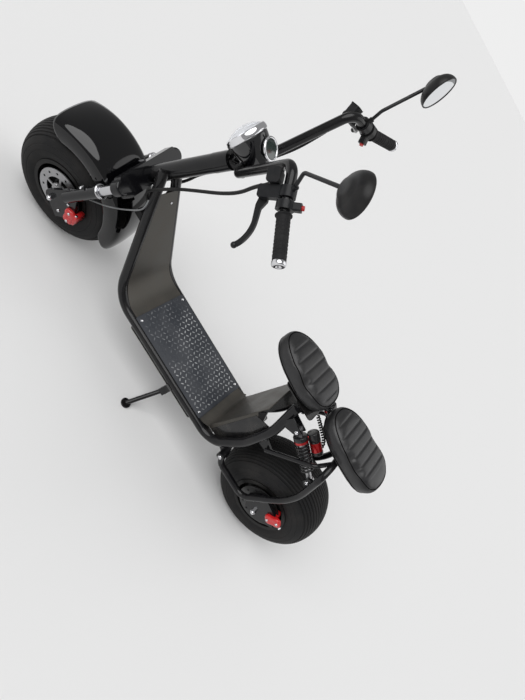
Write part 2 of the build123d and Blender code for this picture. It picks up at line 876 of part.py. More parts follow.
with BuildPart() as grips:
    for side in sides.values():
        start = mirrored(grip_start, side)
        way = mirrored(grip_way, side)
        with BuildSketch(Plane(origin=start + way * grip_gap, z_dir=way)):
            Circle(grip_radius)
            Circle(grip_bar_radius + running_gap, mode=Mode.SUBTRACT)
        extrude(amount=grip_length)
        with BuildSketch(Plane(origin=start + way * grip_gap, z_dir=way)):
            Circle(grip_flange_radius)
            Circle(grip_bar_radius + running_gap, mode=Mode.SUBTRACT)
        extrude(amount=4)
keep("grips", grips.part, "steering")

with BuildPart() as grip_ends:
    for side in sides.values():
        start = mirrored(grip_start, side)
        way = mirrored(grip_way, side)
        with BuildSketch(Plane(origin=start + way * (grip_gap + grip_length + running_gap), z_dir=way)):
            Circle(grip_end_radius)
        extrude(amount=grip_end_length)
        chamfer(grip_ends.faces().sort_by(Axis(start, way))[-1].edges(), 2)
keep("grip_ends", grip_ends.part, "steering")

# Each clamp carries the brake cylinder, lever and mirror on the bar beside the grip
clamp_run = (grip_start - Vector(bar_top_x, bar_top_y, bar_top_z)).normalized()
clamp_at = grip_start - clamp_run * clamp_back
bar_room = bent_tube(bar_points, [42, 28, 28, 42], bar_radius + running_gap)


def around_bar(side, angle):
    """The way out from the bar's middle at an angle up from level."""
    way = mirrored(clamp_run, side)
    level = Vector(side * way.Y, -side * way.X, 0).normalized()
    upward = level.cross(way) * side
    return level * math.cos(math.radians(angle)) + upward * math.sin(math.radians(angle))


def control_spot(name, along, out, over):
    """A point beside the clamp: along the bar, out from it and over that."""
    side = sides[name]
    roll = control_roll[name]
    spot = mirrored(clamp_at, side) + mirrored(clamp_run, side) * along
    return spot + around_bar(side, roll) * out + around_bar(side, roll + 90) * over


# Mirrors: each has its elbow, the middle and facing of its glass, its roll, and
# the point where the stalk enters the domed shell
mirrors = {
    "left": ((923, 228, 1207), (826.3, 312.4, 1337.5), (-0.885, -0.43, 0.18), 47.8, (857, 300, 1309)),
    "right": ((911, -230, 1209), (853.6, -300, 1333.5), (-0.95, 0.29, 0.12), 53.3, (885, -295, 1308)),
}

with BuildPart() as cylinders:
    for name, side in sides.items():
        centre = mirrored(clamp_at, side)
        way = mirrored(clamp_run, side)
        out = around_bar(side, control_roll[name])
        over = around_bar(side, control_roll[name] + 90)
        with BuildSketch(Plane(origin=centre - way * clamp_width / 2, z_dir=way)):
            Circle(bar_radius + clamp_wall)
        extrude(amount=clamp_width)
        block = Plane(origin=centre - over * 8, x_dir=out, z_dir=over)
        with BuildSketch(block):
            with Locations((42, side * 2)):
                RectangleRounded(62, 32, 6)
        extrude(amount=20)
        with BuildSketch(block):
            with Locations((36, side * -34)):
                RectangleRounded(32, 36, 8)
        extrude(amount=28)
        with BuildSketch(block.offset(28)):
            with Locations((36, side * -34)):
                RectangleRounded(34, 38, 9)
        extrude(amount=4)
        add(round_bar(control_spot(name, -58, 36, -14), control_spot(name, 0, 36, -14), cylinder_radius))
        add(round_bar(centre, centre + Vector(0, 0, mirror_boss_top), mirror_boss_radius))
        outlet = control_spot(name, -46, 36, -14)
        add(round_bar(outlet, outlet - Vector(0, 0, outlet_drop), outlet_radius))
        add(bar_room, mode=Mode.SUBTRACT)
        stalk_foot = centre + Vector(0, 0, mirror_boss_top - mirror_socket)
        add(round_bar(stalk_foot, mirrors[name][0], mirror_stalk_radius + running_gap), mode=Mode.SUBTRACT)
keep("brake_cylinders", cylinders.part, "steering")

with BuildPart() as levers:
    for name, side in sides.items():
        out = around_bar(side, control_roll[name])
        over = around_bar(side, control_roll[name] + 90)
        low = control_spot(name, 0, 0, -8 - running_gap - lever_thickness)
        with BuildSketch(Plane(origin=low, x_dir=out, z_dir=over)):
            with BuildLine():
                Polyline((70, side * -2), (79, side * 30), (79.5, side * 72))
                ThreePointArc((79.5, side * 72), (88, side * 99), (114, side * 128))
                Line((114, side * 128), (106, side * 137))
                ThreePointArc((106, side * 137), (77, side * 105), (66.5, side * 70))
                Polyline((66.5, side * 70), (64, side * 40), (51, side * 22), (51, side * 4), (70, side * -2))
            make_face()
            with Locations((62, side * 8)):
                Circle(13)
        extrude(amount=lever_thickness)
        with Locations(control_spot(name, 134, 114, -8 - running_gap - lever_thickness / 2)):
            Sphere(lever_ball_radius)
keep("brake_levers", levers.part, "steering")

with BuildPart() as switches:
    for name, side in sides.items():
        start = mirrored(grip_start, side)
        way = mirrored(clamp_run, side)
        with BuildSketch(Plane(origin=start - way * 24, z_dir=way)):
            Circle(bar_radius + 9)
        extrude(amount=20)
        towards = around_bar(side, switch_angle[name])
        with BuildSketch(Plane(origin=start - way * 14, x_dir=way, z_dir=towards)):
            RectangleRounded(20, 22, 4)
        extrude(amount=switch_reach)
        add(round_bar(start - way * 60, start, bar_radius + running_gap), mode=Mode.SUBTRACT)
keep("switch_pods", switches.part, "steering")

with BuildPart() as buttons:
    for name, side in sides.items():
        towards = around_bar(side, switch_angle[name])
        middle = mirrored(grip_start, side) - mirrored(clamp_run, side) * 14
        low = middle + towards * (switch_reach + running_gap)
        add(round_bar(low, low + towards * 6, button_radius))
keep("switch_buttons", buttons.part, "steering")

with BuildPart() as stalks:
    for name, (elbow, middle, facing, roll, entry) in mirrors.items():
        stalk_points = [
            mirrored(clamp_at, sides[name]) + Vector(0, 0, mirror_boss_top - mirror_socket + running_gap),
            elbow,
            Vector(entry) + (Vector(entry) - Vector(elbow)).normalized() * mirror_socket,
        ]
        add(bent_tube(stalk_points, [14], mirror_stalk_radius))
keep("mirror_stalks", stalks.part, "steering")

glass_planes = {}
with BuildPart() as shells:
    for name, (elbow, middle, facing, roll, entry) in mirrors.items():
        looking = Vector(facing).normalized()
        level = looking.cross(Vector(0, 0, 1)).normalized()
        rolled = level * math.cos(math.radians(roll)) + looking.cross(level) * math.sin(math.radians(roll))
        glass_planes[name] = Plane(origin=middle, x_dir=rolled, z_dir=looking)
        for back, scale in ((0, 1), (0.3, 0.97), (0.65, 0.8), (1, 0.5)):
            with BuildSketch(glass_planes[name].offset(-mirror_depth * back)):
                Ellipse(mirror_half_width * scale, mirror_half_length * scale)
        loft(ruled=True)
        inward = (Vector(entry) - Vector(elbow)).normalized()
        socket_end = Vector(entry) + inward * (mirror_socket + running_gap)
        room = round_bar(elbow, socket_end, mirror_stalk_radius + running_gap)
        add(room, mode=Mode.SUBTRACT)
keep("mirror_shells", shells.part, "steering")

with BuildPart() as glasses:
    for plane in glass_planes.values():
        with BuildSketch(plane.offset(running_gap)):
            Ellipse(mirror_half_width - mirror_rim, mirror_half_length - mirror_rim)
        extrude(amount=1.5)
keep("mirror_glasses", glasses.part, "steering")

# Stem with the bar clamps behind it and the headlight in front
with BuildPart() as stem:
    with BuildSketch(across_head(head_tube_high + running_gap)):
        Circle(stem_radius)
        Circle(steerer_radius + running_gap, mode=Mode.SUBTRACT)
    extrude(amount=stem_top - head_tube_high - running_gap)
    stem_head = on_head(0, 0, stem_top - 14)
    for y in (-9, 9):
        add(round_bar((stem_head.X, y, stem_head.Z), (bar_foot_x, y, bar_foot_z), 11))
    with BuildSketch(across_head(head_tube_high + running_gap)):
        Circle(steerer_radius + running_gap)
    extrude(amount=stem_top - head_tube_high - 8, mode=Mode.SUBTRACT)
    bar_foot = Vector(bar_foot_x, 0, bar_foot_z)
    add(across(bar_foot, -20, 20, bar_radius + 8))
    add(across(bar_foot, -22, 22, bar_radius + running_gap), mode=Mode.SUBTRACT)
keep("stem", stem.part, "steering")

tilt = math.radians(light_tilt)
light_way = Vector(math.cos(tilt), 0, math.sin(tilt))
light_front = Plane(origin=(light_x, 0, light_z), x_dir=(0, 1, 0), z_dir=light_way)
with BuildPart() as light:
    with BuildSketch(light_front):
        Circle(light_radius)
    with BuildSketch(light_front.offset(-light_length * 0.57)):
        Circle(light_middle_radius)
    with BuildSketch(light_front.offset(-light_length)):
        Circle(light_back_radius)
    loft()
    with BuildSketch(Plane(origin=(light_x - 8, 0, light_z - light_radius + 4), z_dir=(0, 0, -1))):
        Rectangle(18, 22)
    extrude(amount=30)
    add(across(bar_foot, -24, 24, bar_radius + 8 + running_gap), mode=Mode.SUBTRACT)
keep("headlight_shell", light.part, "steering")

with BuildPart() as light_rim:
    with BuildSketch(light_front.offset(running_gap)):
        Circle(light_rim_radius)
        Circle(light_rim_radius - 6, mode=Mode.SUBTRACT)
    extrude(amount=light_rim_length)
keep("headlight_rim", light_rim.part, "steering")

with BuildPart() as lens:
    with BuildSketch(light_front.offset(running_gap)):
        Circle(light_rim_radius - 6 - running_gap)
    extrude(amount=light_rim_length - 4)
keep("headlight_lens", lens.part, "steering")

with BuildPart() as display:
    display_top = Plane(
        origin=light_front.from_local_coords(Vector(0, light_middle_radius + running_gap, -light_length * 0.57)),
        x_dir=(0, 1, 0),
        z_dir=(-0.5, 0, 0.866),
    )
    with BuildSketch(display_top):
        Circle(display_radius)
    extrude(amount=display_length)
keep("display", display.part, "steering")

# Wire bundles from the brake cylinders down past the steering head to a rubber
# boot on the front of the leg shield; the upper points turn with the bars
bundle_points = [(969, 184, 1036), (983, 158, 956), (1016, 125, 869), (1063, 92, 777), (1119, 58, 670)]
bundle_low_points = [(1146, 80, 610), (1166, 70, 560), (1146, 32, 505)]
for name, side in sides.items():
    top = control_spot(name, -46, 36, -14) - Vector(0, 0, outlet_drop + running_gap)
    route = [top, top - Vector(0, 0, 24)]
    route += [mirrored(point, side) for point in bundle_points]
    for point in [*bundle_low_points, (1146, 32, gland_top + running_gap)]:
        from_head = mirrored(point, side) - head.origin
        route.append(head.origin + from_head.rotate(Axis((0, 0, 0), head.z_dir), -steer_angle))
    bends = []
    for before, corner, after in zip(route, route[1:], route[2:]):
        into = corner - before
        onward = after - corner
        turn = math.radians(into.get_angle(onward))
        bends.append(0.45 * min(into.length, onward.length) / math.tan(turn / 2))
    print(f"{name}_wire_bundle bends", [round(bend) for bend in bends])
    keep(f"{name}_wire_bundle", bent_tube(route, bends, bundle_radius), "steering")

shield_face = shield_foot_x - (sheet_lift - sheet_thickness / 2 - running_gap) / math.sin(slope)
with BuildPart() as gland:
    with BuildSketch(Plane(origin=(0, 0, 0), x_dir=(1, 0, 0), z_dir=(0, -1, 0))):
        with BuildLine():
            Polyline(
                (shield_face + (gland_top - rail_z) / math.tan(slope), gland_top),
                (1156, gland_top),
                (1156, gland_top - gland_height),
                (shield_face + (gland_top - gland_height - rail_z) / math.tan(slope), gland_top - gland_height),
                (shield_face + (gland_top - rail_z) / math.tan(slope), gland_top),
            )
        make_face()
    extrude(amount=gland_half_width, both=True)
keep("cable_boot", gland.part, "frame")

# Brake calipers over the discs, behind the axles
for wheel, axle_spot, angle, body in (
    ("front", front_axle, 205, "steering"),
    ("rear", rear_axle, 145, "frame"),
):
    outwards = Vector(math.cos(math.radians(angle)), 0, math.sin(math.radians(angle)))
    with BuildPart() as caliper:
        inner_y = disc_offset - caliper_half
        middle = axle_spot + outwards * caliper_distance + Vector(0, inner_y, 0)
        with BuildSketch(Plane(origin=middle, x_dir=outwards, z_dir=(0, 1, 0))):
            RectangleRounded(caliper_depth, caliper_length, 8)
        extrude(amount=2 * caliper_half)
        gap_half = disc_thickness / 2 + caliper_gap
        sweep_room = across(axle_spot, disc_offset - gap_half, disc_offset + gap_half, disc_radius + caliper_gap)
        add(sweep_room, mode=Mode.SUBTRACT)
        if wheel == "front":
            reach = dropout_y - dropout_thickness / 2 - running_gap - disc_offset - caliper_half
            with BuildSketch(Plane(origin=middle + Vector(0, 2 * caliper_half, 0), x_dir=outwards, z_dir=(0, 1, 0))):
                with Locations((-34, 0)):
                    Rectangle(78, 24)
            extrude(amount=reach)
            add(across(axle_spot, 0, dropout_y, axle_radius + running_gap + 2), mode=Mode.SUBTRACT)
    keep(f"{wheel}_caliper", caliper.part, body)

# Side stand
splay = math.radians(stand_splay)
forward = math.radians(stand_forward)
stand_way = Vector(
    math.sin(forward),
    math.cos(forward) * math.sin(splay),
    -math.cos(forward) * math.cos(splay),
)
stand_axis = stand_way.cross(Vector(-1, 0, 0)).normalized()
up = Vector(0, -math.sin(math.radians(lean_angle)), math.cos(math.radians(lean_angle)))


def lowest(centre, spin_way, up_way):
    """How far along the upward way a tyre's lowest point lies."""
    ring = crown_ring * math.sqrt(1 - spin_way.dot(up_way) ** 2)
    return centre.dot(up_way) - ring - tyre_crown_radius


front_spin = Vector(0, 1, 0).rotate(Axis((0, 0, 0), head.z_dir), steer_angle)
sink = lowest(front_axle, front_spin, up) - lowest(rear_axle, Vector(0, 1, 0), up)
up = (up - Vector(sink / wheelbase, 0, 0)).normalized()
ground = lowest(rear_axle, Vector(0, 1, 0), up)
stand_pivot = Vector(stand_pivot_x, stand_pivot_y, stand_pivot_z)
stand_length = (stand_pivot.dot(up) - ground - stand_foot_thickness) / -stand_way.dot(up)
foot = stand_pivot + stand_way * stand_length
with BuildPart() as stand:
    add(round_bar(stand_pivot, foot, stand_leg_radius))
    with BuildSketch(Plane(origin=foot - up * stand_foot_thickness, z_dir=up)):
        Circle(stand_foot_radius)
    extrude(amount=stand_foot_thickness)
    with BuildSketch(Plane(origin=stand_pivot, z_dir=stand_axis)):
        Circle(stand_boss_radius)
    extrude(amount=stand_boss_length / 2, both=True)
keep("side_stand_leg", stand.part, "side_stand")

inwards = stand_axis.cross(Vector(-1, 0, 0))
plate_low = stand_pivot + stand_axis * (stand_boss_length / 2 + stand_clearance)
plate_edge = plate_low - inwards * stand_boss_radius
plate_end = plate_low + inwards * (stand_boss_radius + 12)
plate_top = plate_edge + stand_axis * stand_bracket_thickness
with BuildPart() as bracket:
    with BuildSketch(Plane(origin=(stand_pivot_x, 0, 0), x_dir=(0, 1, 0), z_dir=(1, 0, 0))):
        with BuildLine():
            Polyline(
                (plate_edge.Y, plate_edge.Z),
                (plate_top.Y, plate_top.Z),
                (rail_y + 21, rail_z - 18),
                (rail_y, rail_z - 8),
                (rail_y - 13, rail_z - 18),
                (plate_end.Y, plate_end.Z),
                (plate_edge.Y, plate_edge.Z),
            )
        make_face()
    extrude(amount=stand_boss_radius, both=True)
    rail_low = (stand_pivot_x - 60, rail_y, rail_z)
    rail_high = (stand_pivot_x + 60, rail_y, rail_z)
    add(round_bar(rail_low, rail_high, rail_radius + running_gap), mode=Mode.SUBTRACT)
keep("stand_bracket", bracket.part, "frame")

# Stance: bars turned, then the whole bike leaned until both tyres and the foot
# touch the floor, with the middle of its outline over the origin
ahead = (Vector(1, 0, 0) - up * up.X).normalized()
stance = Plane(origin=(0, 0, 0), x_dir=ahead, z_dir=up).location.inverse()
turn = Plane(origin=head.origin, x_dir=head.x_dir, z_dir=head.z_dir).location
steer = turn * Location((0, 0, 0), (0, 0, steer_angle)) * turn.inverse()
placing = {
    "frame": stance,
    "rear_wheel": stance,
    "side_stand": stance,
    "steering": stance * steer,
    "front_wheel": stance * steer,
}
placed = {}
for name, (solid, body) in pieces.items():
    placed[name] = solid.moved(placing[body])
boxes = [solid.bounding_box() for solid in placed.values()]
shift = Location(
    (
        -(min(box.min.X for box in boxes) + max(box.max.X for box in boxes)) / 2,
        -(min(box.min.Y for box in boxes) + max(box.max.Y for box in boxes)) / 2,
        -min(box.min.Z for box in boxes),
    )
)
os.makedirs("parts", exist_ok=True)
for name, solid in placed.items():
    finished = solid.moved(shift)
    finished.label = name
    export_step(finished, f"parts/{name}.step")
    print(name, [round(v) for v in finished.bounding_box().size])
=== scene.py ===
import json
import math

import bmesh
import bpy
from mathutils import Matrix, Vector
from mathutils.bvhtree import BVHTree


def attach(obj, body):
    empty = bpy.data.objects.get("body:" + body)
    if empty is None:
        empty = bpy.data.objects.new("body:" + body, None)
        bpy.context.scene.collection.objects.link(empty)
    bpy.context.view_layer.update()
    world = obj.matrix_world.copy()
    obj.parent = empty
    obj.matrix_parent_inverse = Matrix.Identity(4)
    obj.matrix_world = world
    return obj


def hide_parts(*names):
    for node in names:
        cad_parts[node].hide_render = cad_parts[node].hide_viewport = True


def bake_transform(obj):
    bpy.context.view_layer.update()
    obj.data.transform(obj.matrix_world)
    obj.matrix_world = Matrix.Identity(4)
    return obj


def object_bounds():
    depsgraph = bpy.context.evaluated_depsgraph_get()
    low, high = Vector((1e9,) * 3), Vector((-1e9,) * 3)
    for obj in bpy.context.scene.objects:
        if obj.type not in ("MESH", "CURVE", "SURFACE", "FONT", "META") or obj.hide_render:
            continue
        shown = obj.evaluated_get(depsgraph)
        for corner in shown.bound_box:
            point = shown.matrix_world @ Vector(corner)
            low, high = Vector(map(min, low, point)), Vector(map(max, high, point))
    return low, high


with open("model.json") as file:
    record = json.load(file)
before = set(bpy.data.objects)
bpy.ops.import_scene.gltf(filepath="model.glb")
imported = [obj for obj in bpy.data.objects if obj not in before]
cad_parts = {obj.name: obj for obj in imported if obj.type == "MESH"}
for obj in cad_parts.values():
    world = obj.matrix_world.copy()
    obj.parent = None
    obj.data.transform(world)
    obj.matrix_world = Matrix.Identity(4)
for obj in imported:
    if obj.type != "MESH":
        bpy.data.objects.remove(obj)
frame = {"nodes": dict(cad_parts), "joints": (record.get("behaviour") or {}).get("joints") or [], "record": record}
cadBox = [list(corner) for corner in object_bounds()]
nodes = frame["nodes"]
joints = {joint["name"]: joint for joint in frame["joints"]}
print("stage: frame loaded")

# The upright moped's own axes, read back from the joints: X ahead, Y left, Z up, in metres
bikeShape = {
    "headRake": math.radians(24.9),
    "wheelbase": 1.398,
    "axleHeight": 0.2275,
    "frontAxle": (1.39748, 0, 0.2275),
    "rearAxle": (0, 0, 0.2275),
}


def bikeMatrix(wheelJoint, axleX):
    left = Vector(joints[wheelJoint]["axis"]).normalized()
    head = Vector(joints["steering_turn"]["axis"]).normalized()
    raked = left.cross(head)
    sine, cosine = math.sin(bikeShape["headRake"]), math.cos(bikeShape["headRake"])
    ahead = raked * cosine - head * sine
    up = raked * sine + head * cosine
    turned = Matrix((ahead, left, up)).transposed()
    axle = Vector((axleX, 0, bikeShape["axleHeight"]))
    placed = turned.to_4x4()
    placed.translation = Vector(joints[wheelJoint]["pos_m"]) - turned @ axle
    return placed


bikeToRow = bikeMatrix("rear_wheel_spin", 0)
barsToRow = bikeMatrix("front_wheel_spin", bikeShape["wheelbase"])
bodyToRow = {
    "frame": bikeToRow,
    "rear_wheel": bikeToRow,
    "side_stand": bikeToRow,
    "steering": barsToRow,
    "front_wheel": barsToRow,
}

# Camera first: the place and turn it had beside the moped
cameraSetup = {
    "place": (0.7055, 1.2663, 1.7982),
    "right": (-0.51334, -0.55766, 0.65231),
    "down": (-0.85213, 0.42137, -0.31036),
    "lens": 26.48,
    "sensor": 36,
}


def addCamera(setup):
    right, down = Vector(setup["right"]).normalized(), Vector(setup["down"]).normalized()
    ahead = right.cross(down)
    turn = Matrix((right, -down, -ahead)).transposed().to_4x4()
    turn.translation = Vector(setup["place"])
    data = bpy.data.cameras.new("photoCamera")
    data.lens = setup["lens"]
    data.sensor_width = setup["sensor"]
    camera = bpy.data.objects.new("photoCamera", data)
    camera.matrix_world = bikeToRow @ turn
    bpy.context.scene.collection.objects.link(camera)
    bpy.context.scene.camera = camera


addCamera(cameraSetup)
bpy.context.scene.view_settings.view_transform = "Standard"


# Grain and dust, each built once and placed in the materials with its own values
surfaceSetup = {
    "fineDetail": 6,
    "broadScale": 9,
    "broadDetail": 5,
    "patchDetail": 8,
    "patchRoughness": 0.65,
    "patchFrom": 0.42,
    "patchTo": 0.72,
    "dustRoughness": 0.85,
    "coatRoughness": 0.06,
    "bumpDistance": 0.0006,
}


def addSocket(group, name, way, kind, value=None):
    socket = group.interface.new_socket(name=name, in_out=way, socket_type="NodeSocket" + kind)
    if value is not None:
        socket.default_value = value


def feed(group, socket, given):
    if isinstance(given, bpy.types.NodeSocket):
        group.links.new(given, socket)
    else:
        socket.default_value = given


def addMath(group, operation, *given, clamp=False):
    node = group.nodes.new("ShaderNodeMath")
    node.operation = operation
    node.use_clamp = clamp
    for socket, value in zip(node.inputs, given):
        feed(group, socket, value)
    return node.outputs[0]


def addNoise(group, scale, detail, roughness=0.5):
    noise = group.nodes.new("ShaderNodeTexNoise")
    place = group.nodes.new("ShaderNodeTexCoord")
    group.links.new(place.outputs["Object"], noise.inputs["Vector"])
    feed(group, noise.inputs["Scale"], scale)
    noise.inputs["Detail"].default_value = detail
    noise.inputs["Roughness"].default_value = roughness
    return noise.outputs["Fac"]


def makeGrainGroup():
    group = bpy.data.node_groups.new("surfaceGrain", "ShaderNodeTree")
    addSocket(group, "Base", "INPUT", "Color", (0.5, 0.5, 0.5, 1))
    addSocket(group, "Scale", "INPUT", "Float", 200)
    addSocket(group, "Shade Change", "INPUT", "Float", 0.15)
    addSocket(group, "Roughness", "INPUT", "Float", 0.4)
    addSocket(group, "Roughness Change", "INPUT", "Float", 0.15)
    addSocket(group, "Color", "OUTPUT", "Color")
    addSocket(group, "Roughness", "OUTPUT", "Float")
    addSocket(group, "Height", "OUTPUT", "Float")
    given = group.nodes.new("NodeGroupInput").outputs
    result = group.nodes.new("NodeGroupOutput").inputs
    fine = addNoise(group, given["Scale"], surfaceSetup["fineDetail"])
    broad = addNoise(group, surfaceSetup["broadScale"], surfaceSetup["broadDetail"])
    centred = addMath(group, "SUBTRACT", addMath(group, "ADD", fine, broad), 1.0)
    tint = group.nodes.new("ShaderNodeVectorMath")
    tint.operation = "SCALE"
    feed(group, tint.inputs[0], given["Base"])
    shade = addMath(group, "MULTIPLY_ADD", centred, given["Shade Change"], 1.0)
    feed(group, tint.inputs["Scale"], shade)
    rough = addMath(group, "MULTIPLY_ADD", centred, given["Roughness Change"], given["Roughness"], clamp=True)
    feed(group, result["Color"], tint.outputs[0])
    feed(group, result["Roughness"], rough)
    feed(group, result["Height"], fine)
    return group


def makeDustGroup():
    group = bpy.data.node_groups.new("settledDust", "ShaderNodeTree")
    addSocket(group, "Color", "INPUT", "Color", (0.1, 0.1, 0.1, 1))
    addSocket(group, "Roughness", "INPUT", "Float", 0.4)
    addSocket(group, "Dust", "INPUT", "Color", (0.32, 0.29, 0.25, 1))
    addSocket(group, "Amount", "INPUT", "Float", 0.3)
    addSocket(group, "Patch Size", "INPUT", "Float", 14)
    addSocket(group, "Color", "OUTPUT", "Color")
    addSocket(group, "Roughness", "OUTPUT", "Float")
    given = group.nodes.new("NodeGroupInput").outputs
    result = group.nodes.new("NodeGroupOutput").inputs
    spread = group.nodes.new("ShaderNodeMapRange")
    spread.inputs["From Min"].default_value = surfaceSetup["patchFrom"]
    spread.inputs["From Max"].default_value = surfaceSetup["patchTo"]
    detail, roughness = surfaceSetup["patchDetail"], surfaceSetup["patchRoughness"]
    feed(group, spread.inputs["Value"], addNoise(group, given["Patch Size"], detail, roughness))
    much = addMath(group, "MULTIPLY", spread.outputs["Result"], given["Amount"], clamp=True)
    mix = group.nodes.new("ShaderNodeMix")
    mix.data_type = "RGBA"
    rough = group.nodes.new("ShaderNodeMix")
    roughPair = (given["Roughness"], surfaceSetup["dustRoughness"])
    for node, (before, after) in ((mix, (given["Color"], given["Dust"])), (rough, roughPair)):
        feed(group, node.inputs["Factor"], much)
        feed(group, node.inputs["A"], before)
        feed(group, node.inputs["B"], after)
    feed(group, result["Color"], mix.outputs["Result"])
    feed(group, result["Roughness"], rough.outputs["Result"])
    return group


grainGroup = makeGrainGroup()
dustGroup = makeDustGroup()


def placeGroup(tree, group, **values):
    node = tree.nodes.new("ShaderNodeGroup")
    node.node_tree = group
    for name, value in values.items():
        node.inputs[name.replace("_", " ")].default_value = value
    return node


# a painted, plastic or metal finish; grain holds its scale, change of shade and change of roughness
def finish(name, color, roughness, metallic=0.0, coat=0.0, grain=(200, 0.15, 0.1), bump=0.0,
           dust=0.0, dustColor=(0.3, 0.28, 0.25), patch=14.0, specular=0.5):
    material = bpy.data.materials.new(name)
    material.use_nodes = True
    tree = material.node_tree
    shader = tree.nodes["Principled BSDF"]
    link = tree.links.new
    body = placeGroup(tree, grainGroup, Base=(*color, 1), Scale=grain[0], Shade_Change=grain[1],
                      Roughness=roughness, Roughness_Change=grain[2])
    over = placeGroup(tree, dustGroup, Dust=(*dustColor, 1), Amount=dust, Patch_Size=patch)
    link(body.outputs["Color"], over.inputs["Color"])
    link(body.outputs["Roughness"], over.inputs["Roughness"])
    link(over.outputs["Color"], shader.inputs["Base Color"])
    link(over.outputs["Roughness"], shader.inputs["Roughness"])
    shader.inputs["Metallic"].default_value = metallic
    shader.inputs["Coat Weight"].default_value = coat
    shader.inputs["Coat Roughness"].default_value = surfaceSetup["coatRoughness"]
    shader.inputs["Specular IOR Level"].default_value = specular
    if bump:
        raised = tree.nodes.new("ShaderNodeBump")
        raised.inputs["Strength"].default_value = bump
        raised.inputs["Distance"].default_value = surfaceSetup["bumpDistance"]
        link(body.outputs["Height"], raised.inputs["Height"])
        link(raised.outputs["Normal"], shader.inputs["Normal"])
    return material


def makeLensGlass():
    material = bpy.data.materials.new("lensGlass")
    material.use_nodes = True
    shader = material.node_tree.nodes["Principled BSDF"]
    shader.inputs["Base Color"].default_value = (0.97, 0.98, 1, 1)
    shader.inputs["Roughness"].default_value = 0.03
    shader.inputs["IOR"].default_value = 1.3
    shader.inputs["Transmission Weight"].default_value = 1.0
    return material


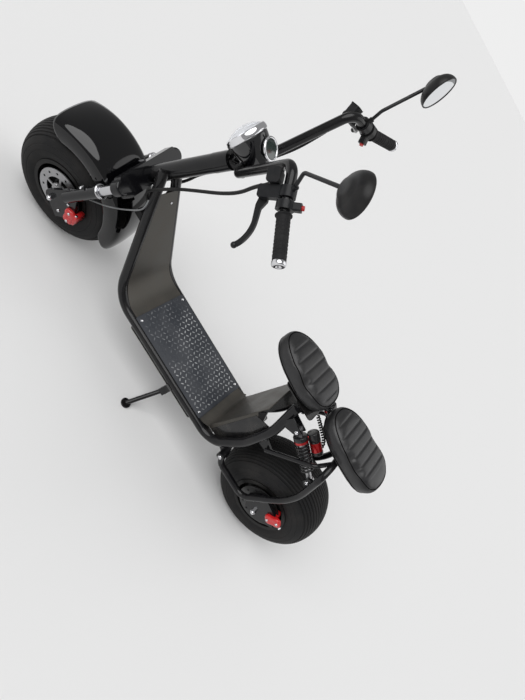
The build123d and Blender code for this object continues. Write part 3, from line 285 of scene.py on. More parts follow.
finishes = {
    "black_frame": finish("frameBlack", (0.005, 0.005, 0.006), 0.2, coat=0.2, grain=(300, 0.2, 0.015),
                          dust=0.03, specular=0.25),
    "dark_sheet": finish("sheetBrownGrey", (0.075, 0.071, 0.063), 0.4, metallic=0.5, grain=(420, 0.3, 0.12),
                         bump=0.12, dust=0.35, dustColor=(0.12, 0.105, 0.09), specular=0.3),
    # gloss black; on the riser's side panels it is partly their paint and partly painted shadow of the seat above
    "panel_black_and_shade": finish("panelBlackAndShade", (0.007, 0.007, 0.008), 0.22, coat=0.4, grain=(300, 0.2, 0.08),
                          dust=0.12, specular=0.25),
    "floor_mat": finish("matGrey", (0.04, 0.044, 0.052), 0.5, grain=(160, 0.35, 0.12), bump=0.3,
                        dust=0.3, dustColor=(0.12, 0.12, 0.125), patch=9, specular=0.2),
    "mat_worn": finish("matWornTread", (0.05, 0.055, 0.064), 0.5, grain=(220, 0.4, 0.12), bump=0.3,
                       dust=1.6, dustColor=(0.42, 0.43, 0.44), patch=7, specular=0.3),
    "fender_gloss": finish("fenderGloss", (0.002, 0.002, 0.0025), 0.06, coat=0.4, grain=(20, 0.1, 0.01),
                           specular=0.3),
    "tyre": finish("tyreRubber", (0.012, 0.012, 0.0125), 0.6, grain=(500, 0.25, 0.1), bump=0.25,
                   dust=0.3, dustColor=(0.05, 0.046, 0.042), specular=0.16),
    "rim_black": finish("rimBlack", (0.006, 0.006, 0.006), 0.42, coat=0.1,
                        dust=0.2, dustColor=(0.06, 0.055, 0.05), specular=0.15),
    "disc_steel": finish("discSteel", (0.42, 0.42, 0.43), 0.38, metallic=1.0, grain=(700, 0.25, 0.15),
                         dust=0.15),
    "disc_dark": finish("discDark", (0.1, 0.1, 0.1), 0.5, metallic=1.0, grain=(700, 0.25, 0.15),
                        dust=0.3, dustColor=(0.04, 0.04, 0.04)),
    "chrome": finish("nutChrome", (0.72, 0.72, 0.74), 0.12, metallic=1.0, grain=(60, 0.08, 0.06), dust=0.06),
    "fork_black": finish("forkBlack", (0.005, 0.005, 0.006), 0.16, coat=0.3, grain=(300, 0.15, 0.012),
                         specular=0.25),
    "stanchion_chrome": finish("stanchionChrome", (0.62, 0.62, 0.64), 0.1, metallic=1.0,
                               grain=(80, 0.05, 0.04)),
    "seat_leather": finish("seatLeather", (0.012, 0.012, 0.013), 0.4, grain=(1100, 0.3, 0.12), bump=0.3,
                           dust=0.08, dustColor=(0.08, 0.075, 0.07), specular=0.55),
    # near-black, darker than the leather: painted shade for the dark groove along each seat seam
    "seam_painted_shade": finish("seamPaintedShade", (0.002, 0.002, 0.002), 0.7, grain=(900, 0.2, 0.1), specular=0.08),
    "seat_pan": finish("panPlastic", (0.01, 0.01, 0.011), 0.5, grain=(350, 0.2, 0.08), bump=0.15,
                       dust=0.15, specular=0.18),
    "spring_black": finish("springBlack", (0.007, 0.007, 0.008), 0.22, coat=0.4, dust=0.1, specular=0.3),
    "red_anodised": finish("anodisedRed", (0.42, 0.008, 0.01), 0.22, metallic=0.6, coat=0.5,
                           grain=(90, 0.15, 0.06)),
    "caliper_red": finish("caliperRed", (0.55, 0.01, 0.012), 0.28, coat=0.4, grain=(120, 0.15, 0.06),
                          dust=0.05),
    "grip_rubber": finish("gripRubber", (0.01, 0.01, 0.011), 0.62, grain=(600, 0.2, 0.08), bump=0.4,
                          dust=0.05, specular=0.2),
    "control_black": finish("controlBlack", (0.009, 0.0095, 0.011), 0.36, grain=(450, 0.2, 0.1), bump=0.12,
                            dust=0.05, specular=0.25),
    "lever_black": finish("leverBlack", (0.01, 0.0105, 0.012), 0.3, metallic=0.2, coat=0.2,
                          dust=0.04, specular=0.25),
    "mirror_shell": finish("mirrorShell", (0.007, 0.007, 0.008), 0.4, grain=(500, 0.2, 0.08), bump=0.12,
                           dust=0.05, specular=0.25),
    "mirror_glass": finish("mirrorGlass", (0.82, 0.84, 0.86), 0.03, metallic=1.0, grain=(30, 0.02, 0.01)),
    "light_shell": finish("lightShell", (0.004, 0.004, 0.005), 0.1, coat=1.0, grain=(60, 0.1, 0.03),
                          specular=0.4),
    "light_chrome": finish("lightChrome", (0.8, 0.8, 0.82), 0.08, metallic=1.0, grain=(50, 0.05, 0.04)),
    "display_glass": finish("displayGlass", (0.03, 0.042, 0.038), 0.1, coat=0.8, grain=(40, 0.1, 0.03)),
    "lamp_red": finish("lampRed", (0.25, 0.008, 0.008), 0.2, coat=0.6, grain=(60, 0.1, 0.04)),
    "hose_black": finish("hoseBlack", (0.008, 0.008, 0.0085), 0.45, grain=(400, 0.2, 0.1), bump=0.15,
                         dust=0.05, specular=0.22),
    "hose_grey": finish("hoseGrey", (0.16, 0.165, 0.17), 0.45, grain=(300, 0.15, 0.1), dust=0.1),
    "button_red": finish("buttonRed", (0.5, 0.015, 0.015), 0.4, grain=(200, 0.15, 0.08)),
    "clear_lens": makeLensGlass(),
}

# Each solid takes its slot's finish, apart from three that look otherwise in use; the riser's side panels take the
# gloss black partly as their own dark paint and partly as painted shadow of the seat falling on them
otherFinish = {"riser_side_panels": "panel_black_and_shade", "seat_base": "panel_black_and_shade", "rear_brake_disc": "disc_dark"}
slotOfNode = {entry["node"]: entry["material_slot"] for entry in frame["record"]["subparts"]}
for nodeName, node in nodes.items():
    finishName = otherFinish.get(nodeName, slotOfNode.get(nodeName))
    material = finishes.get(finishName, finishes["black_frame"])
    if not node.material_slots:
        node.data.materials.append(material)
    for slotHere in node.material_slots:
        slotHere.material = material
print("stage: finishes placed")


# small tools for the pieces
def addPiece(name, data, body, material):
    data.materials.append(material)
    piece = bpy.data.objects.new(name, data)
    bpy.context.scene.collection.objects.link(piece)
    if body:
        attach(piece, body)
    return piece


def place(piece, slotName, *hidden):
    if hidden:
        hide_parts(*hidden)
    return piece


def shade(mesh, smooth):
    mesh.polygons.foreach_set("use_smooth", [smooth] * len(mesh.polygons))


def joinPieces(name, parts, body, material, smooth=True):
    mesh = bpy.data.meshes.new(name)
    bm = bmesh.new()
    for verts, faces in parts:
        made = [bm.verts.new(v) for v in verts]
        for face in faces:
            bm.faces.new([made[i] for i in face])
    bmesh.ops.recalc_face_normals(bm, faces=bm.faces)
    bm.to_mesh(mesh)
    bm.free()
    shade(mesh, smooth)
    return addPiece(name, mesh, body, material)


# joins the parts into one piece in a finish of its own slot, in place of the hidden solids
def dress(name, parts, body, slotName, *hidden):
    return place(joinPieces(name, parts, body, finishes[slotName]), slotName, *hidden)


def gridFaces(rows, columns, closeRows=False, closeColumns=False):
    faces = []
    for i in range(rows if closeRows else rows - 1):
        for j in range(columns if closeColumns else columns - 1):
            a, b = i * columns + j, i * columns + (j + 1) % columns
            c, d = ((i + 1) % rows) * columns + (j + 1) % columns, ((i + 1) % rows) * columns + j
            faces.append((a, b, c, d))
    return faces


# the first ring's face, turned inward, and the last ring's, of rings with count points each
def endFaces(rings, count):
    return [tuple(range(count - 1, -1, -1)), tuple(range((rings - 1) * count, rings * count))]


# the cosine and sine of even steps round a circle
def roundSteps(count):
    turns = [2 * math.pi * step / count for step in range(count)]
    return [(math.cos(turn), math.sin(turn)) for turn in turns]


# outline is (along, out) points, turned about an axis through centre
def turnedPart(outline, axis, centre, steps, matrix, closed=False):
    axis, centre = Vector(axis).normalized(), Vector(centre)
    side = axis.orthogonal().normalized()
    other = axis.cross(side)
    verts = []
    for cosine, sine in roundSteps(steps):
        out = side * cosine + other * sine
        verts += [matrix @ (centre + axis * along + out * max(reach, 0.00001)) for along, reach in outline]
    return verts, gridFaces(steps, len(outline), True, closed)


# how much further out a rounded square reaches than a circle
def squareReach(cosine, sine, power):
    return 1 / (abs(cosine) ** power + abs(sine) ** power) ** (1 / power)


def onSide(point, side):
    return Vector((point[0], point[1] * side, point[2]))


# Tyres: the outline of the solid with the grooves moulded into tread and shoulder
tyreShape = {
    "radius": 0.2275,
    "half": 0.1095,
    "crown": 0.161,
    "shoulder": 0.068,
    "rim": 0.112,
    "beadHalf": 0.098,
    "beadIn": (0.012, 0.0005),
    "treadGrooves": (0.006, 0.019, 0.032, 0.045, 0.058, 0.070, 0.081, 0.091),
    "treadWidth": 0.0017,
    "treadDepth": 0.0036,
    "sideStart": 0.006,
    "sideRibs": (0.172, 0.152, 0.147),
    "sideWidth": 0.0013,
    "sideDepth": 0.0012,
    "crownSteps": 150,
    "shoulderSteps": 120,
    "wallSteps": 24,
    "turnSteps": 150,
}


def tyreOutline(shape):
    crownRing = shape["radius"] - shape["crown"]
    reach = shape["crown"] - shape["shoulder"]
    sine = (shape["half"] - shape["shoulder"]) / reach
    shoulderAcross = reach * sine
    shoulderOut = crownRing + reach * math.sqrt(1 - sine * sine)
    lean = math.asin(sine)
    line = []
    for step in range(shape["crownSteps"]):
        angle = lean * step / shape["crownSteps"]
        line.append((math.sin(angle), math.cos(angle), shape["crown"], 0, crownRing))
    for step in range(shape["shoulderSteps"]):
        angle = lean + (math.pi / 2 - lean) * step / shape["shoulderSteps"]
        line.append((math.sin(angle), math.cos(angle), shape["shoulder"], shoulderAcross, shoulderOut))
    points = []
    for across, out, radius, centreAcross, centreOut in line:
        x, y = centreAcross + across * radius, centreOut + out * radius
        dip = 0
        for groove in shape["treadGrooves"]:
            away = (x - groove) / shape["treadWidth"]
            dip = max(dip, shape["treadDepth"] * math.exp(-(away**4)))
        if x > shape["treadGrooves"][-1] + shape["sideStart"]:
            for rib in shape["sideRibs"]:
                away = (y - rib) / shape["sideWidth"]
                dip = max(dip, shape["sideDepth"] * math.exp(-(away**2)))
        points.append((x - across * dip, y - out * dip))
    beadAcross = shape["half"] - shape["beadHalf"]
    drop = shoulderOut - shape["rim"]
    wall = (beadAcross**2 + drop**2) / (2 * beadAcross)
    for step in range(shape["wallSteps"] + 1):
        down = drop * step / shape["wallSteps"]
        points.append((shape["half"] - wall + math.sqrt(wall**2 - down**2), shoulderOut - down))
    points.append((shape["beadHalf"] - shape["beadIn"][0], shape["rim"] - shape["beadIn"][1]))
    return [(-x, y) for x, y in reversed(points[1:])] + points


tyrePlaces = {"rear_tyre": ("rearAxle", "rear_wheel"), "front_tyre": ("frontAxle", "front_wheel")}
for tyreName, (axle, body) in tyrePlaces.items():
    tyre = turnedPart(tyreOutline(tyreShape), (0, 1, 0), bikeShape[axle], tyreShape["turnSteps"],
                      bodyToRow[body], closed=True)
    dress(tyreName + "Grooved", [tyre], body, "tyre", tyreName)
print("stage: tyres made")

# Seats: a closed cushion swollen as cloth, then its seams and sewn channels
seats = {
    "front_seat": {
        "front": 0.546, "rear": 0.252, "width": 0.186, "base": 0.6746, "height": 0.062,
        "channels": (0.482, 0.444, 0.406, 0.368, 0.330, 0.292),
        "widest": 0.62, "nose": (2.4, 2.2), "tail": (3.0, 2.3),
    },
    "rear_seat": {
        "front": 0.246, "rear": -0.07, "width": 0.196, "base": 0.6746, "height": 0.062,
        "channels": (0.196, 0.160, 0.124, 0.088, 0.052, 0.016),
        "widest": 0.55, "nose": (2.6, 2.4), "tail": (3.8, 2.4),
    },
}
# share of the height, and share of the outline's size there
seatRings = [(0.0, 0.3), (0.0, 0.7), (0.0, 0.88), (0.06, 0.925), (0.25, 0.955), (0.5, 0.975), (0.68, 0.975),
             (0.8, 0.955), (0.9, 0.9), (0.97, 0.8), (1.0, 0.62), (1.02, 0.4), (1.03, 0.2)]
seatCrown = 1.025  # the middle of the top, as a share of the height
seatCloth = {
    "voxel": 0.005,
    "pressure": 4.0,
    "cap": 0.007,
    "frames": 20,
    "restBand": 0.006,
    "restShare": 0.15,
    "calm": 14,
    "calmFactor": 0.5,
}
seatSewing = {
    "flatFrom": 0.2,
    "creaseDepth": 0.0031,
    "creaseWidth": 0.0036,
    "puff": 0.0011,
    "puffPitch": 0.037,
    "pastEnds": 0.018,
    "fadeShare": 0.82,
    "fadeOver": 0.24,
    "pipingShare": 0.84,
    "pipingRadius": 0.0019,
    "dipShare": 0.815,
    "dipOver": 0.026,
    "dipDepth": 0.0014,
    "seamHeight": 0.16,
    "seamRadius": 0.0016,
    "endPull": 0.6,
    "searchShares": (0.15, 1.2),
    "searchSteps": 11,
    "pipingSteps": 56,
    "seamSteps": 55,
    "rayAbove": 0.2,
    "endRoom": 0.05,
    "missShare": 0.97,
}


def seatHalfWidth(seat, share):
    widest = seat["widest"]
    away = (widest - share) / widest if share < widest else (share - widest) / (1 - widest)
    bend, square = seat["nose"] if share < widest else seat["tail"]
    return seat["width"] / 2 * max(0, 1 - away**bend) ** (1 / square)


def seatOutline(seat, steps=60):
    side = []
    for step in range(steps + 1):
        share = (1 - math.cos(math.pi * step / steps)) / 2
        x = seat["front"] + (seat["rear"] - seat["front"]) * share
        side.append((x, seatHalfWidth(seat, share)))
    return side + [(x, -y) for x, y in reversed(side[1:-1])]


def seatForm(seat):
    outline = seatOutline(seat)
    middle = (seat["front"] + seat["rear"]) / 2
    verts = []
    for high, scale in seatRings:
        for x, y in outline:
            verts.append((middle + (x - middle) * scale, y * scale, seat["base"] + seat["height"] * high))
    count = len(outline)
    faces = gridFaces(len(seatRings), count, False, True)
    verts += [(middle, 0, seat["base"]), (middle, 0, seat["base"] + seat["height"] * seatCrown)]
    for j in range(count):
        faces.append((len(verts) - 2, (j + 1) % count, j))
        top = (len(seatRings) - 1) * count
        faces.append((len(verts) - 1, top + j, top + (j + 1) % count))
    return verts, faces


def applyModifiers(piece):
    graph = bpy.context.evaluated_depsgraph_get()
    made = bpy.data.meshes.new_from_object(piece.evaluated_get(graph))
    piece.modifiers.clear()
    piece.data = made


def swell(piece, cloth, base):
    remesh = piece.modifiers.new("even", "REMESH")
    remesh.mode = "VOXEL"
    remesh.voxel_size = cloth["voxel"]
    applyModifiers(piece)
    before = [v.co.copy() for v in piece.data.vertices]
    air = piece.modifiers.new("air", "CLOTH")
    air.settings.use_pressure = True
    air.settings.uniform_pressure_force = cloth["pressure"]
    air.settings.effector_weights.gravity = 0
    scene = bpy.context.scene
    for step in range(1, cloth["frames"] + 1):
        scene.frame_set(step)
    applyModifiers(piece)
    scene.frame_set(1)
    for vertex, rest in zip(piece.data.vertices, before):
        move = vertex.co - rest
        if move.length > cloth["cap"]:
            move *= cloth["cap"] / move.length
        if rest.z < base + cloth["restBand"]:
            move *= cloth["restShare"]
        vertex.co = rest + move
    calm = piece.modifiers.new("calm", "SMOOTH")
    calm.factor = cloth["calmFactor"]
    calm.iterations = cloth["calm"]
    smooth = piece.modifiers.new("round", "SUBSURF")
    smooth.levels = 1
    smooth.render_levels = 1
    applyModifiers(piece)


# how large a drawn-in outline has to be to reach a point of the top
def outlineShare(seat, sewing, x, y):
    middle, length = (seat["front"] + seat["rear"]) / 2, seat["front"] - seat["rear"]
    low, high = sewing["searchShares"]
    for _ in range(sewing["searchSteps"]):
        scale = (low + high) / 2
        stretch = 1 - (1 - scale) * sewing["endPull"]
        share = (seat["front"] - middle - (x - middle) / stretch) / length
        if 0 < share < 1 and abs(y) / scale <= seatHalfWidth(seat, share):
            high = scale
        else:
            low = scale
    return high


def sewChannels(piece, seat, sewing):
    first, last = seat["channels"][0] + sewing["pastEnds"], seat["channels"][-1] - sewing["pastEnds"]
    moves = []
    for vertex in piece.data.vertices:
        x, y, z = vertex.co
        if vertex.normal.z < sewing["flatFrom"]:
            moves.append(0)
            continue
        scale = outlineShare(seat, sewing, x, y)
        fade = max(0, min(1, (sewing["fadeShare"] - scale) / sewing["fadeOver"]))
        fade *= fade * (3 - 2 * fade)
        nearest = min(abs(x - channel) for channel in seat["channels"])
        crease = sewing["creaseDepth"] * math.exp(-((nearest / sewing["creaseWidth"]) ** 2))
        puff = 0
        if last < x < first:
            puff = sewing["puff"] * math.sin(math.pi * min(1, nearest / sewing["puffPitch"]))
        dip = sewing["dipDepth"] * math.exp(-(((scale - sewing["dipShare"]) / sewing["dipOver"]) ** 2))
        moves.append((puff - crease) * fade - dip)
    for vertex, move in zip(piece.data.vertices, moves):
        vertex.co.z += move


def surfaceTree(piece):
    mesh = piece.data
    return BVHTree.FromPolygons([v.co for v in mesh.vertices], [p.vertices for p in mesh.polygons])


# the piping lies where a drawn-in outline drops onto the swollen top
def topRing(piece, seat, sewing):
    tree = surfaceTree(piece)
    middle = (seat["front"] + seat["rear"]) / 2
    scale, above = sewing["pipingShare"], sewing["rayAbove"]
    stretch = 1 - (1 - scale) * sewing["endPull"]
    points = []
    for x, y in seatOutline(seat, sewing["pipingSteps"]):
        spot = Vector((middle + (x - middle) * stretch, y * scale, seat["base"] + above))
        hit = tree.ray_cast(spot, Vector((0, 0, -1)))[0]
        points.append(hit if hit is not None else spot - Vector((0, 0, above - seat["height"])))
    return points


# the lower seam goes round the side at one height
def sideRing(piece, seat, sewing):
    tree = surfaceTree(piece)
    middle = (seat["front"] + seat["rear"]) / 2
    high = seat["base"] + seat["height"] * sewing["seamHeight"]
    frontmost, rearmost = seat["front"] - sewing["endRoom"], seat["rear"] + sewing["endRoom"]
    missed = sewing["missShare"]
    points = []
    for x, y in seatOutline(seat, sewing["seamSteps"]):
        inner = Vector((min(frontmost, max(x, rearmost)), 0, high))
        outer = Vector((x + (x - inner.x) * 2, y * 3, high))
        hit = tree.ray_cast(outer, (inner - outer).normalized())[0]
        points.append(hit if hit is not None else Vector((middle + (x - middle) * missed, y * missed, high)))
    return points


def loopTube(name, points, radius, body, material):
    curve = bpy.data.curves.new(name, "CURVE")
    curve.dimensions = "3D"
    curve.bevel_depth = radius
    curve.bevel_resolution = 3
    spline = curve.splines.new("POLY")
    spline.points.add(len(points) - 1)
    for spot, point in zip(spline.points, points):
        spot.co = (*point, 1)
    spline.use_cyclic_u = True
    return addPiece(name, curve, body, material)


for seatName, seat in seats.items():
    cushion = joinPieces(seatName + "Cushion", [seatForm(seat)], "frame", finishes["seat_leather"])
    swell(cushion, seatCloth, seat["base"])
    sewChannels(cushion, seat, seatSewing)
    piping = topRing(cushion, seat, seatSewing)
    seam = sideRing(cushion, seat, seatSewing)
    # the piping and lower seam are tubes in a near-black finish, painted shade standing for the seam grooves'
    # shadow
    for loopName, ring, size in (("Piping", piping, "pipingRadius"), ("LowerSeam", seam, "seamRadius")):
        placed = [bikeToRow @ point for point in ring]
        loop = loopTube(seatName + loopName, placed, seatSewing[size], "frame", finishes["seam_painted_shade"])
        place(loop, "seat_leather")
    cushion.data.transform(bikeToRow)
    cushion.data.update()
    shade(cushion.data, True)
    if not cushion.data.materials:
        cushion.data.materials.append(finishes["seat_leather"])
    place(cushion, "seat_leather", seatName + "_cushion")
print("stage: seats made")

# Mirrors: domed shells with a raised boss, and the glass let in behind a lip
mirrorShape = {
    "long": 0.064,
    "wide": 0.051,
    "depth": 0.032,
    "lip": [(0.0012, 0.925), (0.003, 0.95), (0.0034, 0.975), (0.002, 0.995), (0, 1.0)],
    "glass": [(0.0006, 0.94), (0.0016, 0.93), (0.0018, 0.9), (0.0019, 0.5), (0.0019, 0.001)],
    "bossHalf": (0.03, 0.04),
    "bossEdge": 0.84,
    "bossSharp": 44,
    "bossRise": 0.0045,
    "bossBehind": -0.003,
    "domeFlat": 1.1,
    "domeFull": 0.62,
    "domeSteps": 14,
    "turnSteps": 72,
}
# middle, way it looks, and its roll in degrees
mirrorPlaces = {
    "left": ((0.8263, 0.3124, 1.3375), (-0.885, -0.43, 0.18), 47.8),
    "right": ((0.8536, -0.3, 1.3335), (-0.95, 0.29, 0.12), 53.3),
}


def mirrorRings(shape, profile, middle, looking, roll):
    level = looking.cross(Vector((0, 0, 1))).normalized()
    short = level * math.cos(roll) + looking.cross(level) * math.sin(roll)
    tall = looking.cross(short)
    verts = []
    for along, scale in profile:
        for cosine, sine in roundSteps(shape["turnSteps"]):
            x, y = shape["wide"] * scale * cosine, shape["long"] * scale * sine
            rise = 0
            if along < shape["bossBehind"]:
                edge = math.hypot(x / shape["bossHalf"][0], y / shape["bossHalf"][1])
                outside = min(60, (edge - shape["bossEdge"]) * shape["bossSharp"])
                rise = shape["bossRise"] / (1 + math.exp(outside))
            verts.append(barsToRow @ (middle + short * x + tall * y + looking * (along - rise)))
    return verts, gridFaces(len(profile), shape["turnSteps"], False, True)


def mirrorShellProfile(shape):
    profile = list(shape["lip"])
    for step in range(1, shape["domeSteps"] + 1):
        angle = math.pi / 2 * step / shape["domeSteps"]
        behind = shape["depth"] * math.sin(angle) ** shape["domeFlat"]
        profile.append((-behind, max(0.0001, math.cos(angle) ** shape["domeFull"])))
    return profile


shellParts, glassParts = [], []
for middle, facing, roll in mirrorPlaces.values():
    setting = (Vector(middle), Vector(facing).normalized(), math.radians(roll))
    shellParts.append(mirrorRings(mirrorShape, mirrorShellProfile(mirrorShape), *setting))
    glassParts.append(mirrorRings(mirrorShape, mirrorShape["glass"], *setting))
dress("mirrorShellsDomed", shellParts, "steering", "mirror_shell", "mirror_shells")
dress("mirrorGlassesLetIn", glassParts, "steering", "mirror_glass", "mirror_glasses")

# Grips: a raised pattern between two plain bands, with the flange at the inner end
gripShape = {
    "start": (0.882, 0.266, 1.125),
    "way": (-0.072, 0.095, -0.015),
    "gap": 0.008,
    "length": 0.118,
    "bore": 0.0114,
    "radius": 0.0166,
    "flange": [(0, 0.02), (0.001, 0.021), (0.003, 0.021), (0.004, 0.0195), (0.0055, 0.0178)],
    "endRound": (0.0008, 0.0162),
    "patternStart": 0.007,
    "patternShort": 0.002,
    "plainBands": (0.016, 0.012),
    "plainMiddle": (0.062, 0.004),
    "plainRise": 0.0004,
    "lozengeRise": 0.0008,
    "lozengeSharp": 4,
    "lozengesRound": 10,
    "lozengesAlong": 330,
    "ringPitch": 0.0095,
    "ringDip": 0.0002,
    "ringFrom": 0.8,
    "rowSteps": 147,
    "turnSteps": 60,
}


def gripReach(shape, along, turn):
    bands, middle = shape["plainBands"], shape["plainMiddle"]
    if along < bands[0] or along > shape["length"] - bands[1] or abs(along - middle[0]) < middle[1]:
        return shape["radius"] + shape["plainRise"]
    aroundPhase, alongPhase = turn * shape["lozengesRound"], along * shape["lozengesAlong"]
    lozenge = math.sin(aroundPhase + alongPhase) * math.sin(aroundPhase - alongPhase)
    wave = math.sin(along * 2 * math.pi / shape["ringPitch"])
    dip = shape["ringDip"] if wave > shape["ringFrom"] else 0
    return shape["radius"] + (shape["lozengeRise"] * math.tanh(lozenge * shape["lozengeSharp"]) - dip)


def gripPart(shape, side):
    start, way = onSide(shape["start"], side), onSide(shape["way"], side).normalized()
    across = way.orthogonal().normalized()
    other = way.cross(across)
    length, endRound = shape["length"], shape["endRound"]
    rows = [(0, shape["bore"])] + shape["flange"]
    patterned = length - shape["patternStart"] - shape["patternShort"]
    for step in range(shape["rowSteps"] + 1):
        rows.append((shape["patternStart"] + patterned * step / shape["rowSteps"], None))
    rows += [(length - endRound[0], endRound[1]), (length, shape["bore"])]
    verts = []
    for along, radius in rows:
        for step in range(shape["turnSteps"]):
            turn = 2 * math.pi * step / shape["turnSteps"]
            reach = gripReach(shape, along, turn) if radius is None else radius
            out = across * math.cos(turn) + other * math.sin(turn)
            verts.append(barsToRow @ (start + way * (shape["gap"] + along) + out * reach))
    return verts, gridFaces(len(rows), shape["turnSteps"], False, True)


dress("gripsPatterned", [gripPart(gripShape, side) for side in (1, -1)], "steering", "grip_rubber", "grips")

# Headlight: bullet shell, chrome bowl, bulb and a domed clear lens; outlines are (ahead, out)
lightShape = {
    "front": (1.085, 0, 0.961),
    "tilt": math.radians(12),
    "radius": 0.059,
    "length": 0.088,
    "taper": 0.42,
    "taperBend": 1.6,
    "closeFrom": 0.86,
    "closeSharp": 14,
    "mouth": [(0.0, 0.0555), (0.0004, 0.0585), (-0.001, 0.059)],
    "back": [(0.003, 0.018), (0.004, 0.0001)],
    "neckTop": (1.077, 0.909),
    "neckRings": ((0.0, 0.012, 0.014), (-0.012, 0.0095, 0.0115), (-0.026, 0.009, 0.011)),
    "bowlRadius": 0.0545,
    "bowlHole": 0.006,
    "bowlDepth": 0.042,
    "bowlEdge": 0.004,
    "bulb": [(-0.037, 0.006), (-0.026, 0.006), (-0.022, 0.0075), (-0.014, 0.008), (-0.008, 0.006),
             (-0.006, 0.0001)],
    "ring": [(0.0003, 0.0562), (0.0003, 0.0618), (0.003, 0.0628), (0.009, 0.0628), (0.015, 0.0616),
             (0.019, 0.0596), (0.0205, 0.0578), (0.0200, 0.0564), (0.010, 0.056), (0.0003, 0.0562)],
    "lensOuter": (0.0175, 0.0558),
    "lensInner": (0.0157, 0.0545),
    "bulge": 0.02,
    "bulgeFull": 0.8,
    "turnSteps": 96,
    "glassSteps": 72,
    "bulbSteps": 24,
    "neckSteps": 32,
    "neckSquare": 4,
}


def lightPart(outline, stepsName):
    tilt = lightShape["tilt"]
    ahead = (math.cos(tilt), 0, math.sin(tilt))
    return turnedPart(outline, ahead, lightShape["front"], lightShape[stepsName], barsToRow)


def lightShellOutline(shape, steps=25):
    outline = list(shape["mouth"])
    for step in range(1, steps + 1):
        share = step / steps
        closing = 1 - max(0, share - shape["closeFrom"]) ** 2 * shape["closeSharp"]
        reach = shape["radius"] * (1 - shape["taper"] * share ** shape["taperBend"]) * closing
        outline.append((-shape["length"] * share, reach))
    return outline + [(-shape["length"] - behind, out) for behind, out in shape["back"]]


def lightNeck(shape):
    x, z = shape["neckTop"]
    verts = []
    for along, halfX, halfY in shape["neckRings"]:
        for cosine, sine in roundSteps(shape["neckSteps"]):
            corner = squareReach(cosine, sine, shape["neckSquare"])
            verts.append(barsToRow @ Vector((x + halfX * corner * cosine, halfY * corner * sine, z + along)))
    return verts, gridFaces(len(shape["neckRings"]), shape["neckSteps"], False, True)


def lightBowlOutline(shape, steps=19):
    outline = []
    for step in range(steps + 1):
        reach = shape["bowlRadius"] * (1 - step / steps) + shape["bowlHole"] * step / steps
        deep = shape["bowlDepth"] * (1 - (reach / shape["bowlRadius"]) ** 2)
        outline.append((shape["bowlEdge"] - deep, reach))
    return outline


def lensOutline(shape, steps=13):
    outer = [(*shape["lensOuter"], step / steps) for step in range(steps + 1)]
    inner = [(*shape["lensInner"], 1 - step / steps) for step in range(steps + 1)]
    outline = []
    for edge, radius, share in outer + inner:
        bulge = shape["bulge"] * (1 - (1 - share) ** 2) ** shape["bulgeFull"]
        outline.append((edge + bulge, max(radius * (1 - share), 0.0001)))
    return outline


shellParts = [lightPart(lightShellOutline(lightShape), "turnSteps"), lightNeck(lightShape)]
dress("headlightShellRounded", shellParts, "steering", "light_shell", "headlight_shell")
chromeRing = lightPart(lightShape["ring"], "turnSteps")
dress("headlightRingTurned", [chromeRing], "steering", "light_chrome", "headlight_rim")
bowlPart = lightPart(lightBowlOutline(lightShape), "glassSteps")
bulbPart = lightPart(lightShape["bulb"], "bulbSteps")
dress("headlightBowl", [bowlPart, bulbPart], "steering", "light_chrome")
lensPart = lightPart(lensOutline(lightShape), "glassSteps")
dress("headlightLensDomed", [lensPart], "steering", "clear_lens", "headlight_lens")

# Chrome caps on the grips' outer ends; the outline is (along, out)
gripCapShape = {
    "outline": [(0.0003, 0.0114), (0.0003, 0.0172), (0.001, 0.0176), (0.008, 0.0174), (0.011, 0.0162),
                (0.0124, 0.0135), (0.0126, 0.007), (0.012, 0.0062), (0.006, 0.006), (0.006, 0.0001)],
    "turnSteps": 48,
}
capParts = []
for side in (1, -1):
    start, way = onSide(gripShape["start"], side), onSide(gripShape["way"], side).normalized()
    end = start + way * (gripShape["gap"] + gripShape["length"])
    capParts.append(turnedPart(gripCapShape["outline"], way, end, gripCapShape["turnSteps"], barsToRow))
dress("gripCapsTurned", capParts, "steering", "chrome", "grip_ends")
print("stage: bars dressed")

# Front fender: a glossy shell that rolls down over the tyre's shoulders, with rounded ends
fenderShape = {
    "centre": (1.41148, 0, 0.24053),
    "section": [(0, 0.278), (0.02, 0.2777), (0.04, 0.2766), (0.06, 0.2745), (0.078, 0.2712), (0.091, 0.2662),
                (0.1005, 0.2595), (0.107, 0.2505), (0.1102, 0.2405), (0.1114, 0.2305), (0.1116, 0.221),
                (0.111, 0.2125), (0.1095, 0.205)],
    "front": 59.5,
    "back": 191.5,
    "endRound": 13.0,
    "endRoundBend": 5,
    "droop": 0.011,
    "droopFrom": 115,
    "droopOver": 55,
    "droopBend": 1.3,
    "thick": 0.003,
    "edgeThinning": 0.7,
    "thinningBend": 6,
    "steps": 84,
}


